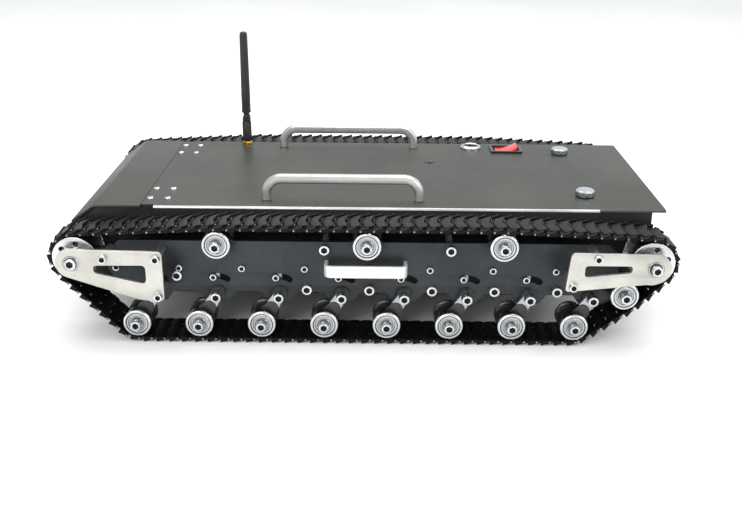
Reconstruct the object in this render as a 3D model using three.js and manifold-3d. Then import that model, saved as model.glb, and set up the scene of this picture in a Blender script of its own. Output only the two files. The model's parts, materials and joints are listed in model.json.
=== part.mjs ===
// Tracked tank chassis for a robotics kit: a sheet-metal hull with a hinged deck lid, and on each
// side a track loop round a drive sprocket, an idler, three return rollers, a raised guide wheel
// and eight road wheels on sprung trailing arms.
//
// Millimetres. +Z is up, +X points to the idler end, the ground is z = 0, and the origin is on the
// ground under the middle of the tracks. Lengths called "out" are distances from the centre plane
// Y = 0, so the same number serves both sides.

import * as THREE from 'three';
import { mergeVertices } from 'three/addons/utils/BufferGeometryUtils.js';
import Module from 'manifold-3d';

const wasm = await Module();
wasm.setup();

// ---- driving dimensions -------------------------------------------------------------------------

const DECK_TOP = 104;          // ground to deck surface
const DECK_HALF = 102;         // half the deck's width
const SHEET = 2;               // hull and lid sheet thickness
const GAP = 0.4;               // clearance between pieces that touch or turn in each other

const AXLE_END_X = 230;        // sprocket and idler axles, either side of the origin
const AXLE_END_Z = 73;
const END_WHEEL_R = 18;
const SPROCKET = { coreR: 14, tipR: 5.2, tip: 3 };
const IDLER_CORE_R = 15;

const WHEEL_R = 11.5;          // road wheels, return rollers and guide wheels
const AXLE_R = 3;
const WHEEL_Z = 16.5;
const ROLLER_Z = 85;
const ROLLER_X = [-117, 3, 112];
const GUIDE = { x: 211, z: 44.5 };

const UNITS = 8;               // suspension units on each side
const UNIT_PITCH = 51;
const FIRST_PIVOT_X = -170.5;
const PIVOT_Z = 38.9;
const ARM_REACH = { x: -14.2, z: WHEEL_Z - PIVOT_Z };
const SHAFT_R = 4;
const ARM_HALF = 5.2;
const PIN_ORBIT = 14.5;        // limit pin's distance from its pivot
const PIN_R = 2;
const PIN_REST_DEG = 101;      // limit pin's direction at rest, measured from +X towards +Z
const SLOT_SWEEP_DEG = 56;      // how far a limit pin's window runs on from the pin at rest

const BELT_BACK = 0.4;         // gap between a wheel's rim and the belt's inner face
const BELT = 4.6;              // track thickness from its inner face to the tread
const BEND_LEAD = 1.5;         // the track turns up this far ahead of the first road wheel

// layers across one side, as distances from the centre plane
const TRACK = { from: 106, to: 145 };
const SIDE_PLATE = { from: 127, to: 130 };
const ARM = { from: 131.5, to: 135.5 };
const CRANK = { from: 121.5, to: 125.5 };
const RIM = { from: 137, to: 144 };
const DRUM = { from: 115, to: 125.5 };
const BRACKET = { from: 152, to: 155 };
const WALL = { from: 97.4, to: 99.4 };
const FLANGE = { from: 100, to: DECK_HALF };

const SCREW_HEAD_R = 4.25;     // M5 socket cap screw
const SCREW_HEAD_H = 5;
const SMALL_HEAD_R = 2.8;      // M3 head on an end bracket's standoff
const SMALL_HEAD_H = 4.4;
const POST_R = 3.5;            // standoff between side plate and end bracket

const SEAM_X = -184.6;         // where the lid meets the fixed front strip
const DECK_FRONT_X = -223.5;
const DECK_REAR_X = 248.5;
const NOSE = { x: -243, z: 90 };
const TUB_REAR_X = 238;
const TUB_FLOOR_Z = 26;
const FLOOR_X = [-208, 205];   // where the floor ends and its sloping skirts begin
const SKIRT_Z = 52;            // where the skirts meet the upright ends

const SEGMENTS = 12;
const LOOP_STEP = Math.PI / 16; // coarsest turn between two points of the track loop

// ---- materials ----------------------------------------------------------------------------------

const paint = (color, roughness, metalness) =>
  new THREE.MeshStandardMaterial({ color, roughness, metalness });

const FINISH = {
  deck: () => paint(0x5f615c, 0.42, 0.75),
  plate: () => paint(0x34393b, 0.4, 0.7),
  bracket: () => paint(0xdcdad2, 0.35, 0.9),
  track: () => paint(0x161617, 0.75, 0.0),
  wheel: () => paint(0xc9cbcc, 0.25, 1.0),
  arm: () => paint(0x8e9092, 0.4, 0.9),
  handle: () => paint(0xd6d6d4, 0.32, 0.95),
  knob: () => paint(0xc4c6c8, 0.22, 1.0),
  rocker: () => paint(0xc8201c, 0.3, 0.0),
  antenna: () => paint(0x151515, 0.55, 0.0),
};

// ---- solids -------------------------------------------------------------------------------------

function toSolid(geometry) {
  const plain = geometry.clone();
  plain.deleteAttribute('normal');
  plain.deleteAttribute('uv');
  const merged = mergeVertices(plain, 1e-4);
  return new wasm.Manifold(new wasm.Mesh({
    numProp: 3,
    vertProperties: new Float32Array(merged.attributes.position.array),
    triVerts: new Uint32Array(merged.index.array),
  }));
}

function toGeometry(solid) {
  const mesh = solid.getMesh();
  const geometry = new THREE.BufferGeometry();
  geometry.setAttribute('position', new THREE.BufferAttribute(mesh.vertProperties, 3));
  geometry.setIndex(new THREE.BufferAttribute(mesh.triVerts, 1));
  geometry.computeVertexNormals();
  return geometry;
}

const joinAll = (solids) => solids.reduce((whole, next) => whole.add(next));
const cutAll = (solid, cutters) => cutters.reduce((whole, next) => whole.subtract(next), solid);

function box(x0, x1, y0, y1, z0, z1) {
  const geometry = new THREE.BoxGeometry(x1 - x0, y1 - y0, z1 - z0);
  return toSolid(geometry.translate((x0 + x1) / 2, (y0 + y1) / 2, (z0 + z1) / 2));
}

// A rod along Y, from one distance out to another.
function rodY(radius, from, to, x = 0, z = 0, segments = SEGMENTS) {
  const geometry = new THREE.CylinderGeometry(radius, radius, to - from, segments);
  return toSolid(geometry.translate(x, (from + to) / 2, z));
}

function rodZ(radius, z0, z1, x, y, segments = 16, topRadius = radius) {
  const geometry = new THREE.CylinderGeometry(topRadius, radius, z1 - z0, segments);
  return toSolid(geometry.rotateX(Math.PI / 2).translate(x, y, (z0 + z1) / 2));
}

// An outline drawn in the XZ plane, thickened along Y.
function slabY(shape, from, to, curveSegments = 4) {
  const options = { depth: to - from, bevelEnabled: false, curveSegments };
  const geometry = new THREE.ExtrudeGeometry(shape, options);
  return toSolid(geometry.rotateX(Math.PI / 2).translate(0, to, 0));
}

// An outline drawn in the XY plane, thickened along Z.
function slabZ(shape, z0, z1, curveSegments = 4) {
  const options = { depth: z1 - z0, bevelEnabled: false, curveSegments };
  return toSolid(new THREE.ExtrudeGeometry(shape, options).translate(0, 0, z0));
}

// A turned piece about the Y axis. The profile lists [radius, distance out] from axis to axis.
function turnedY(profile, segments = SEGMENTS) {
  const points = profile.map(([radius, y]) => new THREE.Vector2(radius, y));
  return toSolid(new THREE.LatheGeometry(points, segments));
}

function outline(points) {
  return new THREE.Shape(points.map(([u, v]) => new THREE.Vector2(u, v)));
}

// A polygon whose corners are rounded; each corner is [u, v, radius].
function rounded(corners) {
  const shape = new THREE.Shape();
  corners.forEach(([u, v, radius], i) => {
    const corner = new THREE.Vector2(u, v);
    const before = corners[(i + corners.length - 1) % corners.length];
    const after = corners[(i + 1) % corners.length];
    const start = corner.clone().add(towards(corner, before, radius));
    const end = corner.clone().add(towards(corner, after, radius));
    if (i === 0) shape.moveTo(start.x, start.y);
    else shape.lineTo(start.x, start.y);
    if (radius > 0) shape.quadraticCurveTo(u, v, end.x, end.y);
  });
  shape.closePath();
  return shape;
}

function towards(corner, [u, v], length) {
  return new THREE.Vector2(u, v).sub(corner).normalize().multiplyScalar(length);
}

// ---- assembly helpers ---------------------------------------------------------------------------

const chassis = new THREE.Group();
const SIDES = { near: -1, far: 1 };

function place(name, solid, finish, x = 0, y = 0, z = 0) {
  const mesh = new THREE.Mesh(toGeometry(solid), finish());
  mesh.name = name;
  mesh.position.set(x, y, z);
  chassis.add(mesh);
}

// Pieces of a side are drawn at +Y; the near side takes their mirror image.
const onSide = (solid, side) => (side > 0 ? solid : solid.mirror([0, 1, 0]));

// ---- track --------------------------------------------------------------------------------------

// The circles the track wraps, clockwise as seen from the near side.
const CIRCUIT = [
  { x: -AXLE_END_X, z: AXLE_END_Z, r: END_WHEEL_R },
  { x: ROLLER_X[0], z: ROLLER_Z, r: WHEEL_R },
  { x: ROLLER_X[2], z: ROLLER_Z, r: WHEEL_R },
  { x: AXLE_END_X, z: AXLE_END_Z, r: END_WHEEL_R },
  { x: GUIDE.x, z: GUIDE.z, r: WHEEL_R },
  { x: wheelX(UNITS - 1), z: WHEEL_Z, r: WHEEL_R },
  { x: wheelX(0) - BEND_LEAD, z: WHEEL_Z, r: WHEEL_R },
];

function pivotX(unit) {
  return FIRST_PIVOT_X + unit * UNIT_PITCH;
}

function wheelX(unit) {
  return pivotX(unit) + ARM_REACH.x;
}

// Direction, seen from a circle's centre, of the point where the belt leaves it for the next.
function leavingAngle(a, b) {
  const along = Math.atan2(b.z - a.z, b.x - a.x);
  const lean = Math.acos((a.r - b.r) / Math.hypot(b.x - a.x, b.z - a.z));
  return along + lean;
}

// The loop at one offset from the wheels: arcs on the circles, joined by straight runs.
function loopPoints(offset) {
  return CIRCUIT.flatMap((wheel, i) => {
    const before = CIRCUIT[(i + CIRCUIT.length - 1) % CIRCUIT.length];
    const after = CIRCUIT[(i + 1) % CIRCUIT.length];
    const from = leavingAngle(before, wheel);
    const sweep = (from - leavingAngle(wheel, after) + 4 * Math.PI) % (2 * Math.PI);
    const steps = Math.ceil(sweep / LOOP_STEP);
    return [...Array(steps + 1).keys()].map((step) => {
      const angle = from - (sweep * step) / steps;
      const radius = wheel.r + offset;
      return [wheel.x + radius * Math.cos(angle), wheel.z + radius * Math.sin(angle)];
    });
  });
}

function trackSolid() {
  const tread = slabY(outline(loopPoints(BELT_BACK + BELT)), TRACK.from, TRACK.to);
  return tread.subtract(slabY(outline(loopPoints(BELT_BACK)), TRACK.from - 1, TRACK.to + 1));
}

// ---- wheels -------------------------------------------------------------------------------------

// Outer rim disc, neck through the arm or plate, and inner drum, turned as one.
function wheelSolid() {
  return turnedY([
    [0, DRUM.from], [WHEEL_R, DRUM.from], [WHEEL_R, DRUM.to], [AXLE_R, DRUM.to],
    [AXLE_R, RIM.from], [WHEEL_R, RIM.from], [WHEEL_R, RIM.to],
    [SCREW_HEAD_R, RIM.to], [SCREW_HEAD_R, RIM.to + 6], [0, RIM.to + 6],
  ]);
}

// Two rim discs on a drum, with a shaft from the hull wall out through the end bracket.
function endWheelSolid(tipR, tipOut, coreR) {
  const disc = 4;
  const shaftR = AXLE_R + 1;
  return turnedY([
    [0, WALL.to + 1], [shaftR, WALL.to + 1], [shaftR, DRUM.from], [END_WHEEL_R, DRUM.from],
    [END_WHEEL_R, DRUM.from + disc], [coreR, DRUM.from + disc], [coreR, RIM.to - disc],
    [END_WHEEL_R, RIM.to - disc], [END_WHEEL_R, RIM.to], [shaftR, RIM.to],
    [shaftR, BRACKET.to + GAP], [tipR, BRACKET.to + GAP], [tipR, tipOut], [0, tipOut],
  ], 16);
}

// ---- suspension arm -----------------------------------------------------------------------------

const polar = (radius, degrees) => ({
  x: radius * Math.cos(THREE.MathUtils.degToRad(degrees)),
  z: radius * Math.sin(THREE.MathUtils.degToRad(degrees)),
});

// A bar of constant width with round ends, from one point to another in the XZ plane.
function link(a, b, radius) {
  const along = Math.atan2(b.z - a.z, b.x - a.x);
  const shape = new THREE.Shape();
  shape.absarc(a.x, a.z, radius, along + Math.PI / 2, along + 1.5 * Math.PI, false);
  shape.absarc(b.x, b.z, radius, along - Math.PI / 2, along + Math.PI / 2, false);
  shape.closePath();
  return shape;
}

// Trailing arm, pivot shaft through the side plate, crank behind it and limit pin back through.
function armSolid() {
  const pivot = { x: 0, z: 0 };
  const pin = polar(PIN_ORBIT, PIN_REST_DEG);
  const bar = slabY(link(pivot, ARM_REACH, ARM_HALF), ARM.from, ARM.to, 3);
  const bore = rodY(AXLE_R + GAP, ARM.from - 1, ARM.to + 1, ARM_REACH.x, ARM_REACH.z, 8);
  const head = rodY(SCREW_HEAD_R, ARM.to, ARM.to + 2 + SCREW_HEAD_H, 0, 0, 6);
  const shaft = rodY(SHAFT_R, CRANK.from, ARM.from, 0, 0, 8);
  const crank = slabY(link(pivot, pin, ARM_HALF - 1), CRANK.from, CRANK.to, 2);
  const limitPin = rodY(PIN_R, CRANK.to, ARM.from + 1.5, pin.x, pin.z, 6);
  return joinAll([bar, head, shaft, crank, limitPin]).subtract(bore);
}

// ---- side plate ---------------------------------------------------------------------------------

const PLATE_TOP_Z = 84;
const LUG_DROP = 7.7;          // how far a pivot lug reaches below its pivot
const LUG_HALF = 9;
const RECESS_HALF = 15;        // a recess starts this far from the pivots either side of it
const RECESS_RISE = 1;          // how far a recess reaches above the pivots
const SLOT_SPARE_DEG = 10;     // window left free behind a limit pin at rest
const STANDOFF_R = 3;
const SCREW_ROW_Z = 43.5;
const SCREW_ROW = [-46, 5, 56, 107, 158];
const OTHER_SCREWS = [[-151.5, 55], [-31.5, 78.4], [70.5, 78.4]];
const SIDE_HANDLE = { x: 2, z: 63.7, half: 32, rise: 15, bar: 3, width: 10 };

// The plate's sloping ends: outermost X, the heights between which it stands upright, and the
// X where its top edge begins.
const PLATE_EDGE = {
  left: -208, leftUpper: 72, leftLower: 58, topLeft: -198,
  right: 206.5, rightLower: 60, rightUpper: 76, topRight: 198,
};

function plateOutline() {
  const { left, leftUpper, leftLower, topLeft, right, rightLower, rightUpper, topRight } = PLATE_EDGE;
  const points = [
    [topLeft, PLATE_TOP_Z], [left, leftUpper], [left, leftLower],
    [FIRST_PIVOT_X - RECESS_HALF, PIVOT_Z - LUG_DROP],
  ];
  for (let unit = 0; unit < UNITS; unit += 1) {
    const x = pivotX(unit);
    if (unit > 0) points.push([x - LUG_HALF, PIVOT_Z - LUG_DROP]);
    points.push([x + LUG_HALF, PIVOT_Z - LUG_DROP]);
    if (unit < UNITS - 1) {
      const top = PIVOT_Z + RECESS_RISE;
      points.push([x + RECESS_HALF, top], [x + UNIT_PITCH - RECESS_HALF, top]);
    }
  }
  points.push([GUIDE.x - 3, GUIDE.z - 6.5], [GUIDE.x + 4, GUIDE.z - 5.5]);
  points.push([GUIDE.x + 6.5, GUIDE.z + 2], [right, rightLower], [right, rightUpper]);
  points.push([topRight, PLATE_TOP_Z]);
  return outline(points);
}

// The curved window that lets a limit pin swing through the arm's travel.
function limitSlot(x) {
  const half = PIN_R + GAP + 0.2;
  const start = THREE.MathUtils.degToRad(PIN_REST_DEG);
  const end = THREE.MathUtils.degToRad(PIN_REST_DEG - SLOT_SWEEP_DEG);
  const spare = THREE.MathUtils.degToRad(SLOT_SPARE_DEG);
  const shape = new THREE.Shape();
  shape.absarc(x, PIVOT_Z, PIN_ORBIT + half, start + spare, end, true);
  shape.absarc(x, PIVOT_Z, PIN_ORBIT - half, end, start + spare, false);
  shape.closePath();
  return slabY(shape, SIDE_PLATE.from - 1, SIDE_PLATE.to + 1, 3);
}

const plateHole = (radius, x, z) =>
  rodY(radius, SIDE_PLATE.from - 1, SIDE_PLATE.to + 1, x, z, 8);

// A standoff from the hull wall to the plate, with its cap screw on the outside.
function plateStandoff([x, z]) {
  return rodY(STANDOFF_R, WALL.to + GAP, SIDE_PLATE.from + 1, x, z, 6)
    .add(rodY(SCREW_HEAD_R, SIDE_PLATE.to - 1, SIDE_PLATE.to + SCREW_HEAD_H, x, z, 6));
}

// A bow handle as a flat U: legs, rounded corners and bar, drawn as span along u, rise along v.
function bowOutline(half, rise, bar, corner) {
  const inner = Math.max(corner - bar, 0.5);
  const shape = new THREE.Shape();
  shape.moveTo(-half - bar / 2, 0);
  shape.lineTo(-half - bar / 2, rise - corner);
  shape.absarc(-half - bar / 2 + corner, rise - corner, corner, Math.PI, Math.PI / 2, true);
  shape.absarc(half + bar / 2 - corner, rise - corner, corner, Math.PI / 2, 0, true);
  shape.lineTo(half + bar / 2, 0);
  shape.lineTo(half - bar / 2, 0);
  shape.absarc(half - bar / 2 - inner, rise - bar - inner, inner, 0, Math.PI / 2, false);
  shape.absarc(-half + bar / 2 + inner, rise - bar - inner, inner, Math.PI / 2, Math.PI, false);
  shape.lineTo(-half + bar / 2, 0);
  shape.closePath();
  return shape;
}

function sideHandle() {
  const { x, z, half, rise, bar, width } = SIDE_HANDLE;
  const bow = slabZ(bowOutline(half, rise, bar, 6), z - width / 2, z + width / 2, 3);
  return bow.translate([x, SIDE_PLATE.to - 0.2, 0]);
}

const LUG_FOOT = 12;           // half the width of a roller's lug where it leaves the plate
const LUG_TIP = 5;             // half its width at the top, and its height above the roller

function lugAround(x) {
  return slabY(outline([
    [x - LUG_FOOT, PLATE_TOP_Z - 1], [x + LUG_FOOT, PLATE_TOP_Z - 1],
    [x + LUG_TIP, ROLLER_Z + LUG_TIP], [x - LUG_TIP, ROLLER_Z + LUG_TIP],
  ]), SIDE_PLATE.from, SIDE_PLATE.to);
}

function sidePlateSolid() {
  const units = [...Array(UNITS).keys()];
  const sheet = joinAll([
    slabY(plateOutline(), SIDE_PLATE.from, SIDE_PLATE.to), ...ROLLER_X.map(lugAround),
  ]);
  const holes = [
    ...units.map((unit) => plateHole(SHAFT_R + GAP, pivotX(unit), PIVOT_Z)),
    ...units.map((unit) => limitSlot(pivotX(unit))),
    ...ROLLER_X.map((x) => plateHole(AXLE_R + GAP, x, ROLLER_Z)),
    plateHole(AXLE_R + GAP, GUIDE.x, GUIDE.z),
  ];
  const screws = [...SCREW_ROW.map((x) => [x, SCREW_ROW_Z]), ...OTHER_SCREWS];
  return joinAll([cutAll(sheet, holes), ...screws.map(plateStandoff), sideHandle()]);
}

// ---- outer end brackets -------------------------------------------------------------------------

const BRACKET_END_R = 12.3;

// Sprocket-end bracket: a triangle with a round end at the axle and a long window.
const FRONT_BRACKET = {
  outline: [
    [-AXLE_END_X - 5, AXLE_END_Z + 11.2, 2], [-158, 83.5, 4], [-158, 42, 3], [-176, 42, 6],
    [-AXLE_END_X - 5, AXLE_END_Z - 11.2, 2],
  ],
  window: [[-171.5, 72, 3], [-171.5, 56, 4], [-212.5, 65.5, 2.8], [-212.5, 71.5, 2.8]],
  screws: [[-204, 78], [-162.5, 78], [-162.5, 46]],
};

// Idler-end bracket: the same idea, with its narrow end at the axle.
const REAR_BRACKET = {
  outline: [
    [163, 86, 4], [AXLE_END_X + 2, AXLE_END_Z + 12.1, 2], [AXLE_END_X + 1, AXLE_END_Z - 12.2, 2],
    [160, 53, 4],
  ],
  window: [[174.5, 75.5, 3], [211.5, 75.5, 2.5], [211.5, 70, 2.5], [174.5, 66, 3]],
  screws: [[183.5, 82], [166, 58]],
};

function bracketSolid({ outline: edge, window: hole, screws }, axleX) {
  const plate = slabY(rounded(edge), BRACKET.from, BRACKET.to);
  const end = rodY(BRACKET_END_R, BRACKET.from, BRACKET.to, axleX, AXLE_END_Z, 16);
  const cut = slabY(rounded(hole), BRACKET.from - 1, BRACKET.to + 1);
  const bore = rodY(AXLE_R + 1 + GAP, BRACKET.from - 1, BRACKET.to + 1, axleX, AXLE_END_Z);
  const posts = screws.map(([x, z]) =>
    rodY(POST_R, SIDE_PLATE.to + GAP, BRACKET.from + 1, x, z, 6)
      .add(rodY(SMALL_HEAD_R, BRACKET.to - 1, BRACKET.to + SMALL_HEAD_H, x, z, 6)));
  return joinAll([cutAll(plate.add(end), [cut, bore]), ...posts]);
}

// ---- hull ---------------------------------------------------------------------------------------

// Outline of the tub's sides, drawn in by an inset and open at the top up to mouthZ.
function hullSection(inset, mouthZ) {
  const s = inset;
  const half = s / 2;
  return outline([
    [DECK_FRONT_X + half, DECK_TOP - s], [NOSE.x + s, NOSE.z - half], [NOSE.x + s, SKIRT_Z + half],
    [FLOOR_X[0] + half, TUB_FLOOR_Z + s], [FLOOR_X[1] - half, TUB_FLOOR_Z + s],
    [TUB_REAR_X - s, SKIRT_Z + half], [TUB_REAR_X - s, mouthZ], [SEAM_X - GAP, mouthZ],
    [SEAM_X - GAP, DECK_TOP - SHEET - s / 10],
  ]);
}

// Bent-up tub, open under the lid, with the fixed front strip and the sloping nose.
function hullSolid() {
  const rim = DECK_TOP - SHEET - GAP;
  const shell = slabY(hullSection(0, rim), -WALL.to, WALL.to);
  const room = slabY(hullSection(SHEET, rim + 1), -WALL.from, WALL.from);
  const strip = slabY(outline([
    [DECK_FRONT_X, DECK_TOP], [NOSE.x, NOSE.z], [NOSE.x + SHEET, NOSE.z - 1],
    [DECK_FRONT_X + 1, DECK_TOP - SHEET], [SEAM_X - GAP, DECK_TOP - SHEET], [SEAM_X - GAP, DECK_TOP],
  ]), -DECK_HALF, DECK_HALF);
  return shell.subtract(room).add(strip);
}

// ---- lid and what rides on it -------------------------------------------------------------------

const FLANGE_X = [-174, 194];
const FLANGE_DROP = 14;
const NOTCH_IN = 3.5;          // bend relief cut in from the lid's side edges beside the hinge
const TOP_HANDLE = { x: -18.2, out: 83, half: 64, rise: 22, bar: 8 };
const BOLT_CIRCLE = { x: 60, y: 4, r: 45 };
const WIRE_HOLE = { x: 60, y: 34, r: 5 };
const SOCKET = { x: 103, y: 85, r: 10 };
const SWITCH = { x: 137, y: 79, long: 31, wide: 25, rise: 2 };
const KNOB = { x: 188, out: 66, r: 8.2, rise: 6 };
const ANTENNA = { x: -120, y: 93, r: 4.5, tipR: 3.7, knuckle: 27, height: 111 };

function lidSolid() {
  const z0 = DECK_TOP - SHEET;
  const sheet = box(SEAM_X, DECK_REAR_X, -DECK_HALF, DECK_HALF, z0, DECK_TOP);
  const flange = box(...FLANGE_X, FLANGE.from, FLANGE.to, z0 - FLANGE_DROP, z0 + 1);
  const through = (r, x, y, segments) => rodZ(r, z0 - 1, DECK_TOP + 1, x, y, segments);
  const { x, y, r } = BOLT_CIRCLE;
  const boltHoles = [[r, 0], [0, r], [-r, 0], [0, -r]].map(([u, v]) => through(1.6, x + u, y + v, 8));
  const knobHoles = [-1, 1].map((side) => through(3.4, KNOB.x, side * KNOB.out, 8));
  const holes = [...boltHoles, ...knobHoles, through(WIRE_HOLE.r, WIRE_HOLE.x, WIRE_HOLE.y, 12)];
  const notch = box(SEAM_X - 1, FLANGE_X[0], DECK_HALF - NOTCH_IN, DECK_HALF + 1, z0 - 1, DECK_TOP + 1);
  const bent = joinAll([sheet, flange, flange.mirror([0, 1, 0])]);
  const holed = cutAll(bent, [...holes, notch, notch.mirror([0, 1, 0])]);
  const fitted = joinAll([holed, socketBarrel(), antennaBase(), bezel()]);
  return cutAll(fitted, [rockerPocket(), socketWell()]);
}

function socketBarrel() {
  return rodZ(SOCKET.r, DECK_TOP - 16, DECK_TOP + 3, SOCKET.x, SOCKET.y, 16);
}

function socketWell() {
  return rodZ(SOCKET.r - 4, DECK_TOP - 8, DECK_TOP + 4, SOCKET.x, SOCKET.y, 12);
}

function bezel() {
  const { x, y, long, wide, rise } = SWITCH;
  return box(x - long / 2, x + long / 2, y - wide / 2, y + wide / 2, DECK_TOP - 18, DECK_TOP + rise);
}

function rockerPocket() {
  const { x, y, long, wide } = SWITCH;
  const half = { x: long / 2 - 3, y: wide / 2 - 3 };
  return box(x - half.x, x + half.x, y - half.y, y + half.y, DECK_TOP - 12, DECK_TOP + 8);
}

function antennaBase() {
  const { x, y, knuckle } = ANTENNA;
  const stub = rodZ(3, DECK_TOP - 10, DECK_TOP, x, y, 8);
  const nut = rodZ(5.4, DECK_TOP - 1, DECK_TOP + 4, x, y, 6);
  const barrel = rodZ(ANTENNA.r, DECK_TOP + 4, DECK_TOP + knuckle - 4, x, y, 12);
  const [inner, outer, foot, tip] = [1.9, 3.6, DECK_TOP + knuckle - 5, DECK_TOP + knuckle + 3];
  const cheeks = [[-outer, -inner], [inner, outer]].map(([from, to]) =>
    box(x - outer, x + outer, y + from, y + to, foot, tip));
  return joinAll([stub, nut, barrel, ...cheeks]);
}

// Whip with a flat tongue that sits in the base's fork; drawn about its knuckle.
function whipSolid() {
  const { r, tipR, knuckle, height } = ANTENNA;
  const tongue = rodY(3, -1.5, 1.5, 0, 0).add(box(-2.6, 2.6, -1.5, 1.5, 0, 6));
  return tongue.add(rodZ(r, 5, height - knuckle, 0, 0, 12, tipR));
}

// Curved red key, drawn about its pivot: one half stands up while the other is pressed in.
function rockerSolid() {
  const { long, wide, rise } = SWITCH;
  const halfX = long / 2 - 3 - 2;
  const halfY = wide / 2 - 3 - 0.5;
  const key = outline([
    [-halfX, rise - 1.5], [-halfX + 1, -5], [halfX - 1, -5], [halfX, rise + 3.5], [0, rise - 0.5],
  ]);
  return slabY(key, -halfY, halfY);
}

function knobSolid() {
  return rodZ(KNOB.r, 0, KNOB.rise, 0, 0, 16).add(rodZ(3, -8, 0, 0, 0, 8));
}

function topHandle() {
  const { half, rise, bar } = TOP_HANDLE;
  return slabY(bowOutline(half, rise, bar, 17), -bar / 2, bar / 2, 6);
}

// ---- build --------------------------------------------------------------------------------------

function buildHull() {
  place('hull_tub', hullSolid(), FINISH.deck);
  place('deck_lid', lidSolid(), FINISH.deck);
  const onDeck = DECK_TOP + GAP;
  for (const [name, side] of Object.entries(SIDES)) {
    const handleY = side * TOP_HANDLE.out;
    place(`top_handle_${name}`, topHandle(), FINISH.handle, TOP_HANDLE.x, handleY, onDeck);
    place(`lid_knob_${name}`, knobSolid(), FINISH.knob, KNOB.x, side * KNOB.out, onDeck);
  }
  const knuckleZ = DECK_TOP + ANTENNA.knuckle;
  place('power_rocker', rockerSolid(), FINISH.rocker, SWITCH.x, SWITCH.y, DECK_TOP);
  place('antenna_whip', whipSolid(), FINISH.antenna, ANTENNA.x, ANTENNA.y, knuckleZ);
}

function buildRunningGear(name, side) {
  const wheel = onSide(wheelSolid(), side);
  const arm = onSide(armSolid(), side);
  const sprocket = onSide(endWheelSolid(SPROCKET.tipR, BRACKET.to + SPROCKET.tip, SPROCKET.coreR), side);
  const idler = onSide(endWheelSolid(SCREW_HEAD_R, BRACKET.to + SCREW_HEAD_H, IDLER_CORE_R), side);
  place(`track_${name}`, onSide(trackSolid(), side), FINISH.track);
  place(`side_plate_${name}`, onSide(sidePlateSolid(), side), FINISH.plate);
  const frontBracket = onSide(bracketSolid(FRONT_BRACKET, -AXLE_END_X), side);
  const rearBracket = onSide(bracketSolid(REAR_BRACKET, AXLE_END_X), side);
  place(`end_bracket_front_${name}`, frontBracket, FINISH.bracket);
  place(`end_bracket_rear_${name}`, rearBracket, FINISH.bracket);
  place(`drive_sprocket_${name}`, sprocket, FINISH.wheel, -AXLE_END_X, 0, AXLE_END_Z);
  place(`idler_wheel_${name}`, idler, FINISH.wheel, AXLE_END_X, 0, AXLE_END_Z);
  place(`guide_wheel_${name}`, wheel, FINISH.wheel, GUIDE.x, 0, GUIDE.z);
  ROLLER_X.forEach((x, i) => {
    place(`return_roller_${name}_${i + 1}`, wheel, FINISH.wheel, x, 0, ROLLER_Z);
  });
  for (let unit = 0; unit < UNITS; unit += 1) {
    place(`suspension_arm_${name}_${unit + 1}`, arm, FINISH.arm, pivotX(unit), 0, PIVOT_Z);
    place(`road_wheel_${name}_${unit + 1}`, wheel, FINISH.wheel, wheelX(unit), 0, WHEEL_Z);
  }
}

buildHull();
for (const [name, side] of Object.entries(SIDES)) buildRunningGear(name, side);

export default chassis;
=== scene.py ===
import json
import math

import bmesh
import bpy
from mathutils import Matrix, Vector


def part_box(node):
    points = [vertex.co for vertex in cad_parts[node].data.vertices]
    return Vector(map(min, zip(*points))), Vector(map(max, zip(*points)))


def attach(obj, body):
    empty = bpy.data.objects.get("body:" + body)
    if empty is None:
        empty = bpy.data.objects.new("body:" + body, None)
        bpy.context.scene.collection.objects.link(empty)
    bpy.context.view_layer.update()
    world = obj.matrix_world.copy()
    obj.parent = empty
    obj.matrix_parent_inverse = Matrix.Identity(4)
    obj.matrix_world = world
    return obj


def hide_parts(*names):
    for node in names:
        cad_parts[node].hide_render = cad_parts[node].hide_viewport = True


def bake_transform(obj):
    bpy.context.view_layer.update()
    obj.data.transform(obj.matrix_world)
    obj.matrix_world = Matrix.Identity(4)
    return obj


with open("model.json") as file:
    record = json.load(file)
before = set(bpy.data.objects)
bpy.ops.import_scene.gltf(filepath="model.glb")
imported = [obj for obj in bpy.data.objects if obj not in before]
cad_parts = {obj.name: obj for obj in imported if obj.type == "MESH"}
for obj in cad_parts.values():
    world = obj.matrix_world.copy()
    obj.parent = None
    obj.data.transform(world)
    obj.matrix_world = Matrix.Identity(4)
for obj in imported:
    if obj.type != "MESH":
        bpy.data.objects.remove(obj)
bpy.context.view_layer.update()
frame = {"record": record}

# Every length below is in millimetres in the frame's axes; MM turns it into metres. A distance
# "out" is measured from the centre plane Y = 0, so the same number serves both sides.
MM = 0.001
SIDES = {"near": -1, "far": 1}
UNITS = range(1, 9)
ROLLERS = range(1, 4)

SHEET = 2.0
GAP = 0.4
HEAD_R = 4.25       # M5 cap screw head
SMALL_HEAD_R = 2.9  # M3 button head


# ---- places read from the frame -----------------------------------------------------------------

def low(node):
    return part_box(node)[0] / MM


def high(node):
    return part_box(node)[1] / MM


def middle(node):
    return (low(node) + high(node)) / 2


def anchor(joint):
    """A point on a joint's axis, in millimetres."""
    row = next(j for j in frame["record"]["behaviour"]["joints"] if j["name"] == joint)
    return Vector(row["pos_m"]) / MM


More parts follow.
